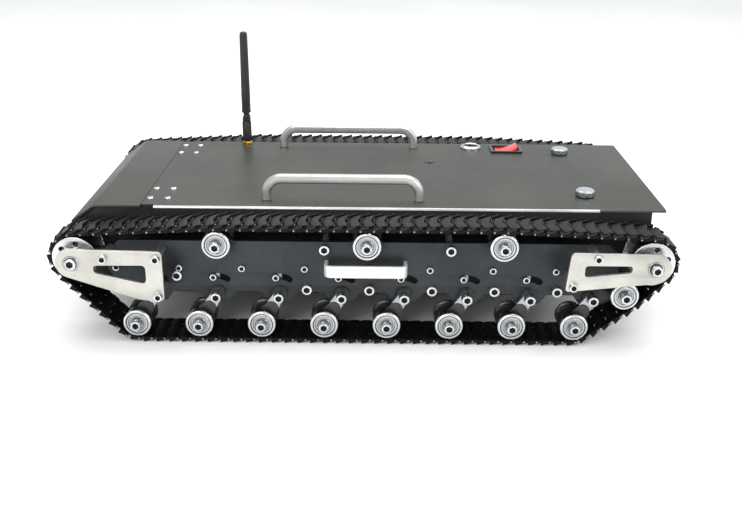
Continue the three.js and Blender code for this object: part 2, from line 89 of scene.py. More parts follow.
DECK_TOP = high("hull_tub").z
FLOOR_Z = low("hull_tub").z
DECK_HALF = high("hull_tub").y
SEAM_X = low("deck_lid").x
DECK_REAR_X = high("deck_lid").x
NOSE_X = low("hull_tub").x
TUB_REAR_X = high("hull_tub").x
AXLE_F = middle("drive_sprocket_near")
AXLE_R = middle("idler_wheel_near")
GUIDE = middle("guide_wheel_near")
WHEEL_R = (high("guide_wheel_near").x - low("guide_wheel_near").x) / 2
END_R = (high("drive_sprocket_near").x - low("drive_sprocket_near").x) / 2
ROLLER_AT = [middle(f"return_roller_near_{i}") for i in ROLLERS]
WHEEL_AT = [middle(f"road_wheel_near_{k}") for k in UNITS]
PIVOT_AT = [anchor(f"arm_near_{k}_swing") for k in UNITS]

# layers across one side, as distances out
TRACK = (106.0, 145.0)
PLATE = (127.0, 130.0)
ARM = (131.5, 135.5)
CRANK = (121.5, 125.5)
RIM = (137.0, 144.0)
DRUM = (115.0, 125.5)
BRACKET = (152.0, 155.0)
WALL = (97.4, 99.4)
SPRING_OUT = 118.4

QUARTER = math.pi / 2
PIN_ORBIT = 14.5
PIN_REST = math.radians(101)
SLOT_SWEEP = math.radians(56)
ARM_HALF = 5.2
HUB_R = 10.3        # black hub round an arm's lower end
SHADE_SLEEVE_UP = 0.5     # how far up the arm its black sleeve reaches, painted shade from the rim and drum


# ---- finishes -----------------------------------------------------------------------------------

def linear(code):
    values = [int(code[i:i + 2], 16) / 255 for i in (0, 2, 4)]
    return tuple(v / 12.92 if v <= 0.04045 else ((v + 0.055) / 1.055) ** 2.4 for v in values) + (1,)


def noise(tree, place, scale, detail=3.0):
    """A noise whose scale differs along X, Y and Z, in features per metre."""
    mapping = tree.nodes.new("ShaderNodeMapping")
    mapping.inputs["Scale"].default_value = scale
    texture = tree.nodes.new("ShaderNodeTexNoise")
    texture.inputs["Scale"].default_value = 1.0
    texture.inputs["Detail"].default_value = detail
    tree.links.new(place, mapping.inputs["Vector"])
    tree.links.new(mapping.outputs["Vector"], texture.inputs["Vector"])
    return texture.outputs["Fac"]


def spread(tree, value, source, target):
    node = tree.nodes.new("ShaderNodeMapRange")
    tree.links.new(value, node.inputs["Value"])
    for name, number in zip(("From Min", "From Max", "To Min", "To Max"), source + target):
        node.inputs[name].default_value = number
    return node.outputs["Result"]


def blended(tree, factor, first, second):
    node = tree.nodes.new("ShaderNodeMix")
    node.data_type = "RGBA"
    tree.links.new(factor, node.inputs[0])
    for socket, colour in ((node.inputs[6], first), (node.inputs[7], second)):
        if isinstance(colour, tuple):
            socket.default_value = colour
        else:
            tree.links.new(colour, socket)
    return node.outputs[2]


def raised(tree, height, strength, distance, below=None):
    node = tree.nodes.new("ShaderNodeBump")
    node.inputs["Strength"].default_value = strength
    node.inputs["Distance"].default_value = distance
    tree.links.new(height, node.inputs["Height"])
    if below is not None:
        tree.links.new(below, node.inputs["Normal"])
    return node.outputs["Normal"]


def surface(name, dark, light, metallic, rough, cloud=35.0, grain=(700.0,) * 3, relief=0.2,
            coat=0.0, wear=None, wear_amount=0.0, wear_scale=(120.0,) * 3, rings=0.0, gloss=0.5):
    """A finish with clouded colour, a fine grain in gloss and relief, and worn or dusty patches."""
    made = bpy.data.materials.new(name)
    made.use_nodes = True
    tree = made.node_tree
    shader = tree.nodes["Principled BSDF"]
    shader.inputs["Metallic"].default_value = metallic
    shader.inputs["Coat Weight"].default_value = coat
    shader.inputs["Specular IOR Level"].default_value = gloss
    place = tree.nodes.new("ShaderNodeTexCoord").outputs["Object"]
    clouds = spread(tree, noise(tree, place, (cloud,) * 3, 5.0), (0.35, 0.65), (0.0, 1.0))
    fine = noise(tree, place, grain)
    colour = blended(tree, clouds, linear(dark), linear(light))
    if wear:
        patches = noise(tree, place, wear_scale, 6.0)
        worn = spread(tree, patches, (0.56, 0.72), (0.0, wear_amount))
        colour = blended(tree, worn, colour, linear(wear))
    tree.links.new(colour, shader.inputs["Base Color"])
    tree.links.new(spread(tree, fine, (0.3, 0.7), rough), shader.inputs["Roughness"])
    normal = raised(tree, fine, relief, 0.0001)
    if rings:
        wave = tree.nodes.new("ShaderNodeTexWave")
        wave.wave_type = "RINGS"
        wave.rings_direction = "Y"
        wave.inputs["Scale"].default_value = rings
        wave.inputs["Distortion"].default_value = 0.6
        tree.links.new(place, wave.inputs["Vector"])
        normal = raised(tree, wave.outputs["Fac"], 0.25, 0.00004, normal)
    tree.links.new(normal, shader.inputs["Normal"])
    return made


FINISH = {
    "deck": surface("satin_deck", "383a34", "42443c", 0.5, (0.36, 0.5), 14.0, (900.0,) * 3, 0.12,
                    wear="50524a", wear_amount=0.15, wear_scale=(60.0, 420.0, 60.0)),
    # a painted highlight along the lid's bend, and painted shade on the flange below it
    "bend": surface("painted_highlight_bend", "b2b3ae", "cbccc6", 0.7, (0.3, 0.42), 30.0, (900.0,) * 3, 0.1),
    "flange": surface("shaded_flange", "111210", "1a1b19", 0.2, (0.5, 0.66), 20.0,
                      (900.0,) * 3, 0.12, wear="2a2b28", wear_amount=0.3),
    # the hull's dark colour, deepened to near black as painted shade for the shadow under the lid's edge
    "tub": surface("satin_hull", "101110", "191a18", 0.3, (0.46, 0.62), 14.0, (900.0,) * 3, 0.12,
                   wear="2c2d2a", wear_amount=0.25, wear_scale=(60.0, 300.0, 120.0)),
    "plate": surface("anodised_black", "2a2d2f", "35393b", 0.55, (0.36, 0.48), 16.0,
                     (1100.0,) * 3, 0.12, wear="43474a", wear_amount=0.25,
                     wear_scale=(120.0, 90.0, 60.0)),
    "bracket": surface("brushed_bracket", "b3b1aa", "cac8c1", 0.9, (0.28, 0.46), 30.0,
                       (90.0, 400.0, 1900.0), 0.3, wear="aaa79e", wear_amount=0.4,
                       wear_scale=(160.0, 160.0, 800.0)),
    "handle": surface("satin_handle", "b4b5b1", "c9cac6", 0.9, (0.26, 0.38), 25.0,
                      (60.0, 1800.0, 1800.0), 0.12, wear="a2a39f", wear_amount=0.25),
    # a lighter copy of the handle finish, a painted highlight for the side handle's face turned to the
    # light
    "handle_painted_light": surface("satin_handle_painted_light", "dededa", "ebebe8", 0.45, (0.3, 0.44), 25.0,
                    (60.0, 1800.0, 1800.0), 0.12, wear="cacac6", wear_amount=0.25),
    "wheel": surface("turned_aluminium", "c2c4c5", "dcdedf", 1.0, (0.18, 0.3), 60.0,
                     (800.0,) * 3, 0.08, wear="9a9c9d", wear_amount=0.4, rings=900.0),
    "bearing": surface("bearing_steel", "9b9da0", "c4c6c8", 1.0, (0.12, 0.22), 90.0,
                       (900.0,) * 3, 0.08, rings=700.0),
    "screw": surface("plated_screw", "b9bbbc", "d8dadb", 1.0, (0.16, 0.3), 120.0, (1500.0,) * 3,
                     0.15, wear="8b8d8e", wear_amount=0.5, wear_scale=(400.0,) * 3),
    "socket": surface("socket_shadow", "0b0b0c", "161617", 0.4, (0.5, 0.7), 300.0),
    "arm": surface("machined_arm", "9b9d9d", "b8baba", 0.9, (0.3, 0.44), 60.0,
                   (1500.0, 900.0, 220.0), 0.25, wear="6c6e6f", wear_amount=0.4),
    "drum": surface("black_drum", "0e0e0f", "19191a", 0.0, (0.3, 0.5), 90.0, (900.0,) * 3, 0.15,
                    coat=0.2, wear="3a3a3b", wear_amount=0.5),
    # the links' black plastic, set darker than the tread pads as painted shade in the gaps and recesses
    # between pads
    "track": surface("track_plastic", "040404", "080808", 0.0, (0.42, 0.6), 60.0, (1600.0,) * 3,
                     0.5, wear="1b1b1a", wear_amount=0.4, wear_scale=(300.0,) * 3, gloss=0.15),
    "tread": surface("tread_pads", "0b0b0b", "141413", 0.0, (0.34, 0.5), 60.0, (1500.0,) * 3,
                     0.6, wear="2c2c2a", wear_amount=0.5, wear_scale=(260.0,) * 3, gloss=0.22),
    "pin": surface("track_pins", "7c7d7e", "9c9d9e", 1.0, (0.28, 0.42), 150.0),
    "spring": surface("spring_steel", "8a8c8e", "b4b6b8", 1.0, (0.2, 0.34), 100.0),
    "knob": surface("turned_knob", "c0c2c4", "dadcdd", 1.0, (0.16, 0.28), 80.0, (700.0,) * 3,
                    0.1, wear="949698", wear_amount=0.35),
    "rocker": surface("red_rocker", "b81512", "d3201b", 0.0, (0.22, 0.32), 60.0, (1200.0,) * 3,
                      0.05, coat=0.5, wear="8e100e", wear_amount=0.3),
    "bezel": surface("black_bezel", "101011", "1a1a1b", 0.0, (0.28, 0.42), 120.0, coat=0.3),
    "rubber": surface("antenna_rubber", "121212", "1c1c1c", 0.0, (0.45, 0.62), 80.0,
                      (1400.0,) * 3, 0.3, wear="2e2e2e", wear_amount=0.4),
    "gold": surface("gold_connector", "b98a2c", "e0b450", 1.0, (0.16, 0.3), 200.0),
    "pcb": surface("green_board", "0d4a2a", "12623a", 0.0, (0.3, 0.45), 70.0, coat=0.3),
    "chip": surface("chip_plastic", "131314", "1e1e1f", 0.0, (0.45, 0.6), 200.0),
    "can": surface("motor_can", "8d8f91", "a9abad", 1.0, (0.26, 0.4), 60.0, (300.0, 900.0, 300.0)),
    "wrap": surface("battery_wrap", "1d3f7a", "27508f", 0.0, (0.24, 0.36), 30.0, (500.0,) * 3,
                    0.2, coat=0.3),
    "wire_red": surface("red_wire", "a01512", "bd1f1a", 0.0, (0.35, 0.5), 100.0),
    "wire_black": surface("black_wire", "141414", "202020", 0.0, (0.35, 0.5), 100.0),
}


# ---- solids, each a list of points and a list of faces -------------------------------------------

def turned(profile, count=32, closed=False):
    """Turned about Z. The profile runs (radius, height) from axis to axis, or round a closed ring.
    A third entry "hex" makes a ring a hexagon of that half width, "knurl" a milled edge."""
    verts, faces, rings = [], [], []
    for radius, height, *shape in profile:
        start = len(verts)
        if radius == 0:
            verts.append((0.0, 0.0, height))
            rings.append([start])
            continue
        for i in range(count):
            angle = 2 * math.pi * i / count
            reach = radius
            if "hex" in shape:
                reach = radius / math.cos((angle + math.pi / 6) % (math.pi / 3) - math.pi / 6)
            if "knurl" in shape:
                reach = radius - (0.25 if i % 2 else 0.0)
            verts.append((reach * math.cos(angle), reach * math.sin(angle), height))
        rings.append(list(range(start, start + count)))
    pairs = list(zip(rings, rings[1:] + rings[:1])) if closed else list(zip(rings, rings[1:]))
    for a, b in pairs:
        for i in range(count):
            j = (i + 1) % count
            corners = [a[i % len(a)], a[j % len(a)], b[j % len(b)], b[i % len(b)]]
            faces.append(tuple(dict.fromkeys(corners)))
    return verts, faces


def merged(verts, faces):
    """The same solid with points that lie on each other made one."""
    first, remap, kept = {}, [], []
    for point in verts:
        key = tuple(round(c, 3) for c in point)
        if key not in first:
            first[key] = len(kept)
            kept.append(point)
        remap.append(first[key])
    clean = [tuple(dict.fromkeys(remap[i] for i in face)) for face in faces]
    return kept, [face for face in clean if len(face) > 2]


def slab(loops, bottom, top, bevel=0.3, steps=1):
    """Outlines in the XY plane, the first outside and the rest holes, thickened along Z with
    rounded edges."""
    curve = bpy.data.curves.new("outline", "CURVE")
    curve.dimensions = "2D"
    curve.fill_mode = "BOTH"
    curve.extrude = (top - bottom) / 2 - bevel
    curve.bevel_depth = bevel
    curve.bevel_resolution = steps
    curve.offset = -bevel
    for loop in loops:
        spline = curve.splines.new("POLY")
        spline.points.add(len(loop) - 1)
        for point, (u, v) in zip(spline.points, loop):
            point.co = (u, v, 0, 1)
        spline.use_cyclic_u = True
    holder = bpy.data.objects.new("outline", curve)
    mesh = bpy.data.meshes.new_from_object(holder)
    lift = (top + bottom) / 2
    verts = [(v.co.x, v.co.y, v.co.z + lift) for v in mesh.vertices]
    faces = [tuple(p.vertices) for p in mesh.polygons]
    bpy.data.objects.remove(holder)
    bpy.data.curves.remove(curve)
    bpy.data.meshes.remove(mesh)
    return merged(verts, faces)


def loft(loops):
    """Loops of equally many points joined side to side, with flat ends."""
    count = len(loops[0])
    verts = [point for loop in loops for point in loop]
    faces = [tuple(range(count)), tuple(range(len(verts) - count, len(verts)))]
    for level in range(len(loops) - 1):
        for i in range(count):
            j = (i + 1) % count
            base = level * count
            faces.append((base + i, base + j, base + count + j, base + count + i))
    return verts, faces


def tube(points, radius, count=8):
    """A round wire along a list of points."""
    points = [Vector(p) for p in points]
    normal = Vector((0.3, 0.5, 0.8))
    loops = []
    for i, point in enumerate(points):
        along = points[min(i + 1, len(points) - 1)] - points[max(i - 1, 0)]
        along.normalize()
        normal = (normal - along * normal.dot(along)).normalized()
        across = along.cross(normal)
        turn = [2 * math.pi * step / count for step in range(count)]
        loops.append([point + (normal * math.cos(a) + across * math.sin(a)) * radius for a in turn])
    return loft(loops)


def circle(u, v, radius, count=24):
    return arc(u, v, radius, 0, 2 * math.pi * (count - 1) / count, count - 1)


def arc(u, v, radius, start, end, steps=8):
    turn = [start + (end - start) * step / steps for step in range(steps + 1)]
    return [(u + radius * math.cos(a), v + radius * math.sin(a)) for a in turn]


def rounded(corners, steps=6):
    """An outline from corners (u, v, cut), each rounded off from cut before it to cut after it."""
    points = []
    for i, (u, v, cut) in enumerate(corners):
        corner = Vector((u, v))
        before = (Vector(corners[i - 1][:2]) - corner).normalized() * cut
        after = (Vector(corners[(i + 1) % len(corners)][:2]) - corner).normalized() * cut
        if cut == 0:
            points.append((u, v))
            continue
        for step in range(steps + 1):
            t = step / steps
            points.append(tuple(corner + before * (1 - t) ** 2 + after * t ** 2))
    return points


def panel(u0, u1, v0, v1, cut):
    return rounded([(u0, v0, cut), (u1, v0, cut), (u1, v1, cut), (u0, v1, cut)])


def block(x, y, long, wide, bottom, top, cut, bevel):
    """An upright box round a point, its upright edges cut and all its edges bevelled."""
    outline = panel(x - long / 2, x + long / 2, y - wide / 2, y + wide / 2, cut)
    return slab([outline], bottom, top, bevel)


def bar_outline(a, b, radius, end_radius=None):
    """A bar with round ends between two points, tapered if its ends differ."""
    along = math.atan2(b[1] - a[1], b[0] - a[0])
    return (arc(*a, radius, along + QUARTER, along + 3 * QUARTER, 12)
            + arc(*b, end_radius or radius, along - QUARTER, along + QUARTER, 12))


def cap_screw(radius, base, height):
    """A socket head from base outwards, its hexagon key hole open at the top."""
    key, depth, top = radius * 0.58, height * 0.55, base + height
    return turned([
        (0, base), (radius, base), (radius, top - 0.5), (radius - 0.2, top - 0.15),
        (radius - 0.6, top), (key, top, "hex"), (key, top - depth, "hex"), (0, top - depth - 0.4),
    ], 24)


def key_hole(radius, base, height):
    """The dark floor of a socket head's key hole."""
    key, depth, top = radius * 0.57, height * 0.55, base + height
    return turned([(0, top - depth - 0.3), (key, top - depth - 0.3, "hex"),
                   (key, top - depth + 0.3, "hex"), (0, top - depth + 0.3)], 12)


def washer(inner, outer, bottom, top, count=24):
    edge = min(0.25, (top - bottom) / 3)
    return turned([
        (inner, bottom), (outer - edge, bottom), (outer, bottom + edge), (outer, top - edge),
        (outer - edge, top), (inner + edge, top), (inner, top - edge),
    ], count, closed=True)


def rod(radius, bottom, top, count=20):
    edge = min(0.3, radius / 3)
    return turned([(0, bottom), (radius, bottom), (radius, top - edge), (radius - edge, top),
                   (0, top)], count)


# ---- pieces -------------------------------------------------------------------------------------

def outwards(side, x=0.0, z=0.0):
    """Turns local X, Y, Z to the frame's X, Z and out of one side."""
    return Matrix(((1, 0, 0, x), (0, 0, side, 0), (0, 1, 0, z), (0, 0, 0, 1)))


class Piece:
    """Solids gathered in millimetres, which become one mesh that rides a body."""

    def __init__(self, name, origin=(0, 0, 0)):
        self.name = name
        self.origin = Vector(origin)
        self.verts, self.faces, self.marks, self.finishes = [], [], [], []

    def add(self, solid, finish, at=None):
        verts, faces = solid
        base = len(self.verts)
        if finish not in self.finishes:
            self.finishes.append(finish)
        mark = self.finishes.index(finish)
        for point in verts:
            point = Vector(point) if at is None else at @ Vector(point)
            self.verts.append((point - self.origin) * MM)
        self.faces += [tuple(base + i for i in face) for face in faces]
        self.marks += [mark] * len(faces)
        return self

    def screw(self, side, x, z, base, radius=HEAD_R, height=5.0):
        """A socket cap screw standing out of one side."""
        at = outwards(side, x, z)
        self.add(cap_screw(radius, base, height), "screw", at)
        return self.add(key_hole(radius, base, height), "socket", at)

    def mesh(self, sharp=32):
        mesh = bpy.data.meshes.new(self.name)
        mesh.from_pydata(self.verts, [], self.faces)
        for finish in self.finishes:
            mesh.materials.append(FINISH[finish])
        mesh.polygons.foreach_set("material_index", self.marks)
        work = bmesh.new()
        work.from_mesh(mesh)
        bmesh.ops.recalc_face_normals(work, faces=work.faces)
        work.to_mesh(mesh)
        work.free()
        mesh.polygons.foreach_set("use_smooth", [True] * len(mesh.polygons))
        mesh.set_sharp_from_angle(angle=math.radians(sharp))
        mesh.update()
        return mesh

    def build(self, body, slot, replaces=(), mesh=None):
        made = bpy.data.objects.new(self.name, mesh or self.mesh())
        made.location = self.origin * MM
        bpy.context.scene.collection.objects.link(made)
        if replaces:
            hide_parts(*replaces)
        if body:
            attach(made, body)
        return made


def shaped(made, cutters=None, bevel=0.0):
    """Cuts a piece with a solid of the same frame, rounds its edges, and keeps the result."""
    if cutters is not None:
        tool = bpy.data.objects.new("cutter", cutters)
        bpy.context.scene.collection.objects.link(tool)
        cut = made.modifiers.new("cut", "BOOLEAN")
        cut.operation = "DIFFERENCE"
        cut.solver = "EXACT"
        cut.object = tool
    if bevel:
        edge = made.modifiers.new("edge", "BEVEL")
        edge.width = bevel * MM
        edge.segments = 2
        edge.limit_method = "ANGLE"
        edge.angle_limit = math.radians(40)
    bpy.context.view_layer.update()
    graph = bpy.context.evaluated_depsgraph_get()
    result = bpy.data.meshes.new_from_object(made.evaluated_get(graph))
    made.modifiers.clear()
    made.data = result
    result.polygons.foreach_set("use_smooth", [True] * len(result.polygons))
    result.set_sharp_from_angle(angle=math.radians(20))
    if cutters is not None:
        bpy.data.objects.remove(tool)
    return made


# ---- stage --------------------------------------------------------------------------------------

CAMERA_TURN = (-0.331, 22.17, 0.47)        # yaw, pitch and roll in degrees
CAMERA_PLACE = (0.0105, -0.8781, 0.3689)   # metres, as the lights are
CAMERA_LENS = 48.3
AIM = (0, 0, 0.05)
LIGHTS = [   # name, place, size, power
    ("overhead", (0.1, 0.35, 1.5), (1.8, 1.2), 24),
    ("front", (-0.7, -1.5, 1.0), (1.2, 0.8), 15),
    ("right", (1.4, -0.7, 0.8), (0.9, 0.9), 8),
]
FLOOR_HALF = 6.0


def camera():
    yaw, pitch, roll = (math.radians(a) for a in CAMERA_TURN)
    ahead = Vector((math.sin(yaw) * math.cos(pitch), math.cos(yaw) * math.cos(pitch),
                    -math.sin(pitch)))
    level = Vector((math.cos(yaw), -math.sin(yaw), 0))
    upright = level.cross(ahead)
    right = level * math.cos(roll) + upright * math.sin(roll)
    up = upright * math.cos(roll) - level * math.sin(roll)
    data = bpy.data.cameras.new("camera")
    data.sensor_width = 36.0
    data.lens = CAMERA_LENS
    data.clip_start = 0.01
    made = bpy.data.objects.new("camera", data)
    made.matrix_world = Matrix((right, up, -ahead)).transposed().to_4x4()
    made.location = CAMERA_PLACE
    bpy.context.scene.collection.objects.link(made)
    bpy.context.scene.camera = made


def area_light(name, place, size, power):
    data = bpy.data.lights.new(name, "AREA")
    data.shape = "RECTANGLE"
    data.size, data.size_y = size
    data.energy = power
    made = bpy.data.objects.new(name, data)
    made.location = place
    aim = Vector(AIM) - Vector(place)
    made.rotation_euler = aim.to_track_quat("-Z", "Y").to_euler()
    bpy.context.scene.collection.objects.link(made)


def studio():
    floor = bpy.data.meshes.new("floor")
    half = FLOOR_HALF
    floor.from_pydata([(-half, -half, 0), (half, -half, 0), (half, half, 0), (-half, half, 0)],
                      [], [(0, 1, 2, 3)])
    floor.materials.append(surface("pale_floor", "e9e9e7", "efefed", 0.0, (0.6, 0.7), 3.0,
                                   (200.0,) * 3, 0.02))
    made = bpy.data.objects.new("floor", floor)
    bpy.context.scene.collection.objects.link(made)
    for light in LIGHTS:
        area_light(*light)
    world = bpy.data.worlds.new("studio")
    world.use_nodes = True
    backdrop = world.node_tree.nodes["Background"]
    backdrop.inputs["Color"].default_value = (0.95, 0.97, 1.0, 1)
    backdrop.inputs["Strength"].default_value = 0.95
    bpy.context.scene.world = world
    bpy.context.scene.view_settings.view_transform = "Standard"


# ---- hull ---------------------------------------------------------------------------------------

STRIP_FRONT_X = NOSE_X + 19.5
NOSE_Z = DECK_TOP - 14
SKIRT_Z = FLOOR_Z + 26
WALL_RIVET_X = (-150, -60, 30, 120, 200)
BRACE_X = (-60, 120)


def tub_line(inset):
    """The tub's bent outline from the nose under the floor to the rear edge, moved inwards."""
    s = inset
    return [
        (NOSE_X + s, NOSE_Z - s), (NOSE_X + s, SKIRT_Z + s / 2),
        (NOSE_X + 35 + s / 2, FLOOR_Z + s), (TUB_REAR_X - 33 - s / 2, FLOOR_Z + s),
        (TUB_REAR_X - s, SKIRT_Z + s / 2), (TUB_REAR_X - s, DECK_TOP - SHEET - GAP),
    ]


def bent(line, radius):
    """A line's inner corners rounded as a bent sheet's are."""
    ends = [(*line[0], 0)], [(*line[-1], 0)]
    return rounded(ends[0] + [(u, v, radius) for u, v in line[1:-1]] + ends[1], 4)


def hull():
    tub = Piece("hull_tub_sheet")
    band = bent(tub_line(0), 5) + bent(tub_line(SHEET), 4)[::-1]
    tub.add(slab([band], -WALL[0], WALL[0], 0), "tub", outwards(1))
    wall = bent(tub_line(0), 5) + [(SEAM_X - GAP, DECK_TOP - SHEET - GAP),
                                   (SEAM_X - GAP, DECK_TOP - SHEET - 0.2),
                                   (STRIP_FRONT_X + 2, DECK_TOP - SHEET - 0.2)]
    for side in SIDES.values():
        holes = [circle(AXLE_F.x, AXLE_F.z, 6), circle(AXLE_R.x, AXLE_R.z, 6)]
        tub.add(slab([wall] + holes, *WALL, 0.3), "tub", outwards(side))
        for x in WALL_RIVET_X:
            tub.add(rod(2.6, WALL[0] - 1.4, WALL[0], 12), "screw", outwards(side, x, DECK_TOP - 12))
    tub.build("hull", "hull_paint", ["hull_tub"])

    strip = Piece("front_deck_strip")
    outline = rounded([
        (STRIP_FRONT_X, DECK_TOP, 2.5), (NOSE_X, NOSE_Z, 0), (NOSE_X + SHEET * 0.6, NOSE_Z - 1.4, 0),
        (STRIP_FRONT_X + 0.7, DECK_TOP - SHEET, 1.5), (SEAM_X - GAP, DECK_TOP - SHEET, 0),
        (SEAM_X - GAP, DECK_TOP, 0),
    ])
    strip.add(slab([outline], -DECK_HALF, DECK_HALF, 0.25), "deck", outwards(1))
    strip.build("hull", "hull_paint", ["hull_tub"])

    bars = Piece("hull_cross_braces")
    for x in BRACE_X:
        bars.add(block(x, 0, 12, 2 * WALL[0] - 0.4, DECK_TOP - 26, DECK_TOP - 23, 1, 0.3), "tub")
    bars.build("hull", "hull_paint")


# ---- lid ----------------------------------------------------------------------------------------

FLANGE_X = (-174.0, 194.0)
FLANGE_DROP = 14.0
NOTCH_IN = 3.5
BOLT_CIRCLE = (60.0, 4.0, 45.0)
CABLE_HOLE = (60.0, 34.0, 5.0)
SOCKET = (103.0, 85.0, 10.0)
SWITCH = (137.0, 79.0, 31.0, 25.0)
HINGE_SCREW_X = (-180.0, -165.4)
HINGE_OUT, HINGE_HALF = 70.0, 13.0
KNOB_AT = middle("lid_knob_far")
ANTENNA_AT = middle("antenna_whip")
KNUCKLE_Z = anchor("antenna_tilt").z


def lid_section():
    """Half of the lid's cross-section: the sheet, its bend and its flange, as (out, height)."""
    top, under, out = DECK_TOP, DECK_TOP - SHEET, DECK_HALF
    bend = 2.2
    return ([(0, top)] + arc(out - bend, top - bend, bend, math.pi / 2, 0, 6)
            + [(out, under - FLANGE_DROP), (out - SHEET, under - FLANGE_DROP)]
            + arc(out - SHEET - 0.8, under - 0.8, 0.8, 0, math.pi / 2, 4) + [(0, under)])


def switch_panel(inset, cut):
    x, y, long, wide = SWITCH
    return panel(x - long / 2 + inset, x + long / 2 - inset, y - wide / 2 + inset,
                 y + wide / 2 - inset, cut)


def lid_cutters():
    """Everything cut from the bent sheet: flange ends, bolt holes, cable hole and panel holes."""
    tool = Piece("lid_cutters")
    under = DECK_TOP - SHEET
    for x0, x1 in ((SEAM_X - 5, FLANGE_X[0]), (FLANGE_X[1], DECK_REAR_X + 5)):
        tool.add(slab([panel(x0, x1, -DECK_HALF - 5, DECK_HALF + 5, 0)], under - 30, under, 0), "deck")
    x, y, r = BOLT_CIRCLE
    round_holes = [(x + u, y + v, 1.6) for u, v in ((r, 0), (0, r), (-r, 0), (0, -r))]
    round_holes += [CABLE_HOLE, (*SOCKET[:2], SOCKET[2] - 1.5)]
    round_holes += [(KNOB_AT.x, side * abs(KNOB_AT.y), 3.4) for side in SIDES.values()]
    for u, v, radius in round_holes:
        tool.add(slab([circle(u, v, radius, 24)], under - 3, DECK_TOP + 3, 0), "deck")
    tool.add(slab([switch_panel(2, 0)], under - 3, DECK_TOP + 3, 0), "deck")
    return tool.mesh()


def relief_cutters():
    """The notch beside the hinge where the sheet's bent flange ends."""
    tool = Piece("relief_cutters")
    for side in SIDES.values():
        near, far = sorted((side * (DECK_HALF - NOTCH_IN), side * (DECK_HALF + 5)))
        tool.add(slab([panel(SEAM_X - 2, FLANGE_X[0], near, far, 0)], DECK_TOP - 6, DECK_TOP + 3, 0),
                 "deck")
    return tool.mesh()


def flange_finishes(mesh):
    """The bend between deck and flange gets a painted highlight, and the flange below it painted shade."""
    mesh.materials.append(FINISH["bend"])
    mesh.materials.append(FINISH["flange"])
    for face in mesh.polygons:
        along, _, height = face.center / MM
        # faces in the bend get the painted highlight, flange faces below them painted shade
        if FLANGE_X[0] < along < FLANGE_X[1] and abs(face.normal.y) > 0.4:
            face.material_index = 1 if height > DECK_TOP - 2.3 else 2


def lid():
    sheet = Piece("deck_lid_sheet")
    half = lid_section()
    loop = half + [(-u, v) for u, v in half[::-1][1:-1]]
    across = [[(x, u, v) for u, v in loop] for x in (SEAM_X, *FLANGE_X, DECK_REAR_X)]
    sheet.add(loft(across), "deck")
    made = sheet.build(None, "hull_paint", ["deck_lid"])
    made = shaped(shaped(made, relief_cutters()), lid_cutters(), 0.3)
    flange_finishes(made.data)
    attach(made, "lid")

    hinge = Piece("lid_hinge_leaves")
    fixed = Piece("hull_hinge_leaves")
    screws = Piece("hinge_screws")
    for side in SIDES.values():
        y = side * HINGE_OUT
        for leaf, x0, x1, bottom, top in ((hinge, 1, 27, 1.6, 0.1), (fixed, -20, -1.2, 1.9, 0.3)):
            leaf.add(slab([panel(SEAM_X + x0, SEAM_X + x1, y - 20, y + 20, 3)],
                          DECK_TOP - SHEET - bottom, DECK_TOP - SHEET - top, 0.2), "screw")
        for x in HINGE_SCREW_X:
            for dy in (-HINGE_HALF, HINGE_HALF):
                at = Matrix.Translation((x, y + dy, DECK_TOP))
                screws.add(button_head(2.8, 1.7), "screw", at)
                screws.add(key_hole(2.5, 0.3, 1.2), "socket", at)
    hinge.build("lid", "bracket_aluminium")
    fixed.build("hull", "bracket_aluminium")
    screws.build("lid", "wheel_metal")
    charge_socket()
    switch()
    antenna()
    for name, side in SIDES.items():
        top_handle(name, side)
        knob(name, side)


def button_head(radius, height):
    key = radius * 0.5
    return turned([(0, 0.02), (radius, 0.02), (radius, height * 0.35), (radius * 0.85, height * 0.75),
                   (radius * 0.62, height), (key, height, "hex"), (key, height * 0.4, "hex"),
                   (0, height * 0.35)], 24)


def charge_socket():
    x, y, radius = SOCKET
    socket = Piece("charge_socket_ring", (x, y, DECK_TOP))
    at = Matrix.Translation((x, y, DECK_TOP))
    socket.add(turned([(radius - 3.4, -12), (radius - 1.6, -12), (radius - 1.6, 0.05), (radius, 0.05),
                       (radius, 1.4), (radius - 0.8, 2.4), (radius - 2.2, 3), (radius - 3.4, 2.4)],
                      36, closed=True), "knob", at)
    socket.add(turned([(0, -12.5), (radius - 3.5, -12.5), (radius - 3.5, 0.8), (radius - 5, 1.2),
                       (radius - 5.4, -7), (0, -7)], 32), "bezel", at)
    socket.add(turned([(0, -7), (1.1, -7), (1.1, -0.5), (0.6, 0), (0, 0)], 12), "gold", at)
    socket.add(turned([(radius - 1.5, -6, "hex"), (radius - 0.4, -6, "hex"), (radius - 0.4, -2.1, "hex"),
                       (radius - 1.5, -2.1, "hex")], 24, closed=True), "screw", at)
    socket.build("lid", "wheel_metal", ["deck_lid"])


